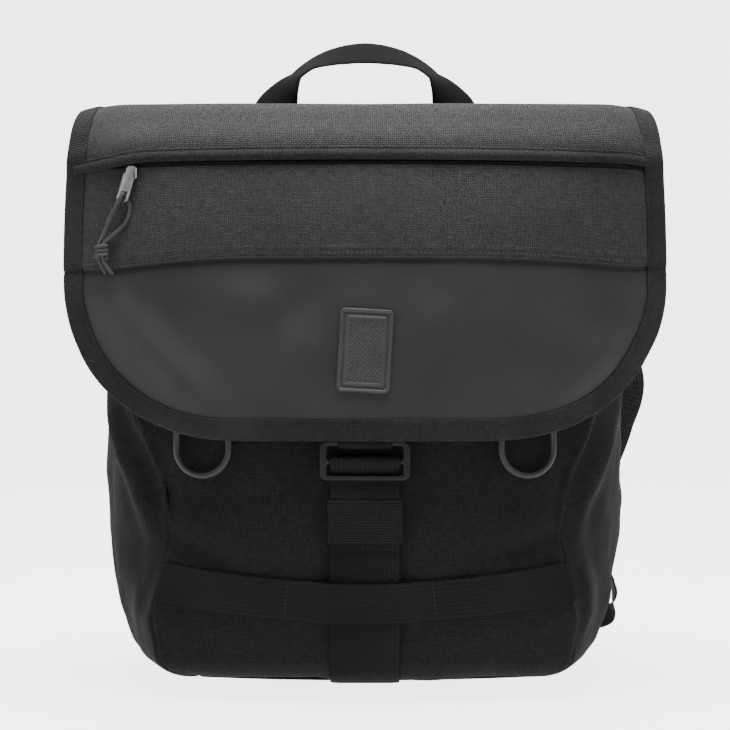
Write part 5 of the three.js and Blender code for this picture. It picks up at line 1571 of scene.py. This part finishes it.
def build_rings():
    bar, outer, inner = RING_WIRE / 2, RING_INSIDE / 2 + RING_WIRE, RING_INSIDE / 2
    low = bar + RING_LEG
    corner = [(outer + (math.sin(a) - 1) * RING_CORNER, bar + (math.cos(a) - 1) * RING_CORNER)
              for a in np.linspace(0, math.pi / 2, 7)]
    outline = [(-x, y) for x, y in reversed(corner)] + corner + bow(outer, low + RING_WIRE / 12)
    hole = [(-inner, -bar), (inner, -bar), *bow(inner, low)]
    climb = climb_to(RING_BAR_HEIGHT)
    eye = RING_WIRE * RING_TURN
    for name, hand in (("left", -1), ("right", 1)):
        share = hand * RING_ACROSS / float(section(climb)["seam_x"])
        at = on_front(share, climb, eye / 2 + 2 * GAP + WEBBING)
        out = at - on_front(share, climb, 0.0)
        facing = math.atan2(out[0], -out[1])
        c, s = math.cos(facing), math.sin(facing)
        ring = plate(f"ring_{name}_moulding", outline, [hole], RING_WIRE, 2.1)
        place(ring, (c, s, 0), (0, 0, 1), (s, -c, 0), at)
        dress(ring, PLASTIC, f"ring_{name}", f"d_ring_{name}")
        tab(f"ring_{name}_loop", RING_TAB, eye, eye, TAB_RUN, leaning(facing, -RING_TAB_LEAN), at,
            f"ring_tab_{name}")


# Handle, yoke and shoulder straps
YOKE_FACE = BACK_FACE + GAP + YOKE_THICKNESS
HANDLE_LINE = [
    (1, 0, 0), (1, 0.3, 0), (0.985, 0.46, 0), (0.95, 0.56, 0.06), (0.89, 0.66, 0.25), (0.8, 0.77, 0.55),
    (0.7, 0.85, 0.78), (0.56, 0.92, 0.76), (0.38, 0.965, 0.67), (0.19, 0.99, 0.61), (0, 1, 0.59),
]


def handle_frames():
    """The handle's line and the direction across its webbing, which turns flat towards the top."""
    half = np.array(HANDLE_LINE, float)
    rows = np.concatenate([half * (-1, 1, 1), (half[:-1])[::-1]])
    y = YOKE_FACE + GAP + HANDLE_WEBBING / 2
    line = points(rows[:, 0] * HANDLE_SPAN / 2, y, lerp(HANDLE_FOOT, HANDLE_TOP, rows[:, 1]))
    along = directions(line)
    outwards = np.stack([-along[:, 2], np.zeros(len(line)), along[:, 0]], -1)
    lean = rows[:, 2] * math.pi / 2
    sides = outwards * np.cos(lean)[:, None] + np.outer(np.sin(lean), (0, 1, 0))
    return line, sides


def build_handle():
    line, sides = handle_frames()
    obj = ribbon("handle_webbing", line, sides, HANDLE_WIDTH, HANDLE_WEBBING, 2.0)
    dress(obj, SHADED_HANDLE_WEB, node="grab_handle")


def on_handle(x, z):
    return points(x, YOKE_FACE + GAP + HANDLE_WEBBING + 0.05, z)


def handle_rows():
    """A crossed box of stitches on each foot of the handle."""
    rows = []
    w, low, high = HANDLE_WIDTH / 2 - 4, HANDLE_FOOT + 4, HANDLE_FOOT + 30
    for x in (-HANDLE_SPAN / 2, HANDLE_SPAN / 2):
        corners = [(x - w, low), (x + w, low), (x + w, high), (x - w, high)]
        rows += box_rows(on_handle, corners, 3.2, TO_BACK, crossed=True)
    return rows


YOKE_TOP = FLAP_FOOT - GAP
YOKE_CORNER = 7


def build_yoke():
    half = YOKE_WIDTH / 2
    outline = rounded_box(-half, half, YOKE_TOP - YOKE_HEIGHT, YOKE_TOP, YOKE_CORNER, 7)
    obj = planar_uv(plate("yoke_cloth", outline, [], YOKE_THICKNESS, 1.9))
    place(obj, *FACING_FRONT, (0, YOKE_FACE - YOKE_THICKNESS / 2, 0))
    dress(obj, BODY_CLOTH, node="back_yoke")


def on_yoke(x, z):
    return points(x, YOKE_FACE + 0.05, z)


def yoke_rows():
    end = YOKE_WIDTH / 2 - 8
    heights = (YOKE_TOP - 4, YOKE_TOP - YOKE_HEIGHT + 4)
    return [row_of(on_yoke, (-end, z), (end, z), 3.6, TO_BACK) for z in heights]


PAD_LINE = [
    dict(at=0, down=0, out=0, off=0.13, width=0.35), dict(at=1, down=0.09, out=0.04, off=0.45, width=0.8),
    dict(at=2, down=0.25, out=0.28, off=0.9, width=1), dict(at=3, down=0.38, out=0.7, off=1, width=1),
    dict(at=4, down=0.53, out=1, off=0.95, width=1), dict(at=5, down=0.7, out=0.96, off=0.85, width=0.85),
    dict(at=6, down=0.86, out=0.89, off=0.7, width=0.5), dict(at=7, down=1, out=0.85, off=0.58, width=0),
]
LOWER_LINE = [(0.8, 0.66, 0.82, 0.6), (1, 0.42, 0.64, 1), (1, 0.2, 0.46, 1.3), (0.88, 0.04, 0.36, 1.8)]
STRAPS = [
    dict(name="left", hand=-1, spread=100, bow=60, lower_bow=26),
    dict(name="right", hand=1, spread=147, bow=42, lower_bow=49),
]
ANCHOR_FACE = BACK_FACE + GAP + ANCHOR_THICKNESS
ADJUSTER_REACH = ADJUSTER_SLOT + 1.5 * ADJUSTER_BAR


def pad_frames(strap, count=90):
    """Places along a shoulder pad, with the directions, width and height there."""
    top = YOKE_TOP - YOKE_HEIGHT - 2 * GAP

    def spot(at):
        return points(
            strap["hand"] * (PAD_SPACING / 2 + column(PAD_LINE, "out", at) * strap["spread"]),
            BACK_FACE + column(PAD_LINE, "off", at) * strap["bow"],
            top - column(PAD_LINE, "down", at) * PAD_DROP)

    at = np.linspace(0, len(PAD_LINE) - 1, count)
    along = unit(spot(at + 0.05) - spot(at - 0.05))
    side = np.cross(along, (0, 1, 0))
    width = lerp(PAD_END_WIDTH, PAD_WIDTH, column(PAD_LINE, "width", at))
    thin = np.minimum(smooth(at, -0.5, 1), 1 - smooth(at, 6, 7.4))
    return spot(at), along, side, width, lerp(PAD_EDGE, PAD_THICKNESS, thin)


def build_pad(strap):
    line, _, side, width, height = pad_frames(strap)
    along = directions(line)
    across = unit(side - along * np.sum(side * along, axis=1, keepdims=True))
    up = np.cross(across, along)
    x = np.sin(np.linspace(-1, 1, 27) * math.pi / 2)
    crown = (1 - np.abs(x) ** 2.6) ** 0.62
    quilt = 0.16 * np.exp(-((np.abs(x) - 0.72) / 0.06) ** 2)
    welt = 1 - smooth(np.abs(x), 0.84, 0.9)
    thick = PAD_EDGE / 2 * np.sqrt(np.clip(1 - np.abs(x) ** 14, 0, 1))
    half = thick[None] + (height[:, None] - PAD_EDGE) / 2 * (crown - quilt)[None] * welt[None]
    run = lengths(line)
    soft = 1 + 0.05 * unevenness(run[:, None], x[None] * 30, 22, 31)
    xs = np.broadcast_to(x, half.shape)
    top, low = np.stack([xs, half * soft], -1), np.stack([xs, -half * soft], -1)[:, ::-1][:, 1:-1]
    shape = np.concatenate([top, low], axis=1)
    wide = across[:, None] * shape[..., :1] * (width / 2)[:, None, None]
    rings = line[:, None] + wide + up[:, None] * shape[..., 1:]
    uv = np.stack(np.broadcast_arrays(shape[..., 0] * (width / 2)[:, None], run[:, None]), -1)
    obj = tube(f"pad_cover_{strap['name']}", rings, uv)
    dress(obj, MESH, node=f"shoulder_pad_{strap['name']}")


def build_adjuster(strap):
    """The adjuster at a pad's end and its webbing loop. Returns the way from the adjuster's own places."""
    name = strap["name"]
    line, along_all, side_all, _, _ = pad_frames(strap, 15)
    at, along, across = line[-1], along_all[-1], unit(side_all[-1])
    up = -along
    out = np.cross(across, up)
    flip = -1 if out[1] < 0 else 1
    axes = across * flip, up, out * flip
    pitch = ADJUSTER_SLOT + ADJUSTER_BAR
    middle = at + along * (LOOP_RUN + pitch + GAP)

    def local(x, y, z):
        return middle + axes[0] * x + axes[1] * y + axes[2] * z

    inner = LOWER_WEBBING / 2 + 2 * GAP
    outer, half_slot = inner + ADJUSTER_WALL, ADJUSTER_SLOT / 2
    slots = [rounded_box(-inner, inner, y - half_slot, y + half_slot, 1.2) for y in (pitch / 2, -pitch / 2)]
    outline = rounded_box(-outer, outer, -ADJUSTER_REACH, ADJUSTER_REACH, ADJUSTER_WALL)
    moulding = plate(f"adjuster_{name}_moulding", outline, slots, ADJUSTER_THICKNESS, 1.0)
    dress(place(moulding, *axes, middle), PLASTIC, node=f"strap_adjuster_{name}")
    tab(f"pad_{name}_loop", LOWER_WEBBING, ADJUSTER_BAR, ADJUSTER_THICKNESS, LOOP_RUN,
        (axes[0], -np.array(axes[2]), axes[1]), local(0, pitch, 0), f"pad_loop_{name}")
    return local, axes[0]


def build_lower(strap):
    """The lower webbing, from its tail through the adjuster down to the anchor."""
    name, hand = strap["name"], strap["hand"]
    local, across = build_adjuster(strap)
    turn = ADJUSTER_THICKNESS / 2 + GAP + WEBBING / 2
    tail = [
        (0, -TAIL_LENGTH, turn + 7), (0, -TAIL_LENGTH / 2, turn + 3), (0, -ADJUSTER_REACH, turn),
        (0, 0, turn),
        (0, turn - 1, turn), (0, turn, turn - 1), (0, turn, 1 - turn), (0, turn - 1, -turn), (0, 0, -turn),
        (0, -ADJUSTER_REACH, -turn), (0, -ADJUSTER_REACH - 11, -turn - 2),
    ]
    tail = [local(*spot) for spot in tail]
    anchor_y = ANCHOR_FACE + GAP + WEBBING / 2
    anchor = np.array((hand * ANCHOR_ACROSS, anchor_y, ANCHOR_FOOT + ANCHOR_HEIGHT / 2))
    start = local(0, -ADJUSTER_REACH, -turn)
    lower = [(anchor[0] + hand * strap["lower_bow"] * out, lerp(anchor[1], start[1], deep),
              lerp(anchor[2], start[2], high)) for out, high, deep, _ in LOWER_LINE]
    sewn = [(anchor[0] + hand * ANCHOR_WIDTH * share, anchor[1], anchor[2]) for share in (0.35, -0.3)]
    twists = [0] * len(tail) + [twist for *_, twist in LOWER_LINE] + [2, 2]
    edge_on, flat = np.array((0, hand, 0.0)), np.array((0, 0, -hand * 1.0))
    sides = [lerp(across, edge_on, t) if t < 1 else lerp(edge_on, flat, t - 1) for t in twists]
    line = np.array([*tail, *lower, *sewn])
    obj = ribbon(f"lower_webbing_{name}", line, np.array(sides), LOWER_WEBBING, WEBBING, 1.6)
    dress(obj, WEB, node=f"strap_webbing_{name}")


def build_anchor(strap):
    """The patch with cut corners that holds the lower webbing."""
    half, cut = ANCHOR_WIDTH / 2, ANCHOR_HEIGHT / 4
    low = [(-half, cut), (-half + cut, 0), (half - cut, 0), (half, cut)]
    outline = low[1:] + [(-x, ANCHOR_HEIGHT - y) for x, y in low] + low[:1]
    patch = planar_uv(plate(f"anchor_patch_{strap['name']}", outline, [], ANCHOR_THICKNESS, 0.9))
    at = strap["hand"] * ANCHOR_ACROSS, ANCHOR_FACE - ANCHOR_THICKNESS / 2, ANCHOR_FOOT
    dress(place(patch, *FACING_FRONT, at), BODY_CLOTH, node=f"strap_anchor_{strap['name']}")


# Room, light and camera
CAMERA_AT = (0, -1.185, 0.230)
CAMERA_LENS = 75.8
BACKDROP_GLOW = 3.6
BACKDROP = [(-2.2, 0), (1.4, 0), (2.0, 0.05), (2.4, 0.25), (2.62, 0.65), (2.7, 1.3), (2.7, 3.0)]


def build_stage():
    """A pale floor that turns up into a backdrop."""
    line, = curve_through([(0, y, z) for y, z in BACKDROP], 0.1)
    x = np.linspace(-4, 4, 9)
    grid = points(x[None], line[:, None, 1], line[:, None, 2] - 0.0004) * 1000
    floor = add_mesh("floor", grid, grid_faces(len(line), 9))
    nodes = Nodes("paper")
    shade = nodes.ramp(nodes.noise(nodes.object, 3, 2), 0.2, 0.24)
    paper = nodes.tree.nodes.new("ShaderNodeCombineColor")
    for i in range(3):
        nodes.put(paper.inputs[i], shade)
    grain = nodes.bump(nodes.noise(nodes.object, 400, 2), 0.0001)
    nodes.shader.inputs["Emission Color"].default_value = (1, 1, 1, 1)
    nodes.shader.inputs["Emission Strength"].default_value = BACKDROP_GLOW
    floor.data.materials.append(nodes.finish(paper.outputs[0], 0.9, grain))


def soft_light(name, at, aim, size, watts):
    light = bpy.data.lights.new(name, "AREA")
    light.shape = "RECTANGLE"
    light.size, light.size_y = size
    light.energy = watts
    obj = linked(name, light)
    obj.location = at
    obj.rotation_euler = (Vector(aim) - Vector(at)).to_track_quat("-Z", "Y").to_euler()


def build_lights():
    world = bpy.data.worlds.new("studio")
    world.use_nodes = True
    background = world.node_tree.nodes["Background"]
    background.inputs["Color"].default_value = (1, 1, 1, 1)
    background.inputs["Strength"].default_value = 0.5
    bpy.context.scene.world = world
    soft_light("overhead", (0, -0.15, 1.5), (0, -0.05, 0.3), (1.0, 1.0), 150)
    for name, x in (("left", -1.4), ("right", 1.4)):
        soft_light(name, (x, -0.9, 0.9), (0, 0, 0.25), (0.9, 1.2), 14)


def build_camera():
    data = bpy.data.cameras.new("camera")
    data.lens = CAMERA_LENS
    data.sensor_width = 36
    camera = linked("camera", data)
    camera.location = CAMERA_AT
    camera.rotation_euler = (math.pi / 2, 0, 0)
    bpy.context.scene.camera = camera


def dress_cad_metal():
    """The zip's slider and tab keep their CAD shape, with rounded edges."""
    for name, radius in (("zip_slider", 0.0005), ("pull_tab", 0.0004)):
        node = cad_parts[name]
        node.data.materials.clear()
        node.data.materials.append(METAL)
        bevel = node.modifiers.new("rounded", "BEVEL")
        bevel.width = radius
        bevel.segments = 3
        bevel.limit_method = "ANGLE"


def pocket_height(u, v):
    return under_binding(u, v, POCKET_LOW + 0.3) + PANEL_CLOTH


def hood_height(u, v):
    return hood_lift(u, v) * (HOOD_LIFT - PANEL_LOW) + PANEL_LOW + PANEL_CLOTH + GAP + BINDING_TAPE


def hood_settle(u, v):
    return v + hood_dip(u)


def build_stitches():
    pocket = flap_row(SEAM_AT - 3, pocket_height, pitch=3.2)
    hood = flap_row(HOOD_AT - 6.2, hood_height, inset=14, lift=-0.1, settle=hood_settle)
    straps = band_rows() + handle_rows() + yoke_rows()
    dress(stitches("binding_thread", [binding_row()], 3.0), THREAD)
    dress(stitches("pocket_thread", [pocket, hood], 2.2, 0.42), PALE_THREAD)
    dress(stitches("patch_thread", label_rows(), 2.4, 0.32), THREAD)
    dress(stitches("strap_thread", straps, 2.2, 0.34), THREAD)


build_camera()
build_cord()
build_stage()
build_lights()
build_front()
build_side("left", -1)
build_side("right", 1)
build_base()
build_back()
build_flap_base()
build_top_panel()
build_pocket_panel()
build_zip_tape()
build_hood()
build_binding()
build_label()
build_strap()
build_keeper()
build_buckle()
build_band()
build_rings()
build_handle()
build_yoke()
for strap in STRAPS:
    build_pad(strap)
    build_lower(strap)
    build_anchor(strap)
dress_cad_metal()
build_stitches()
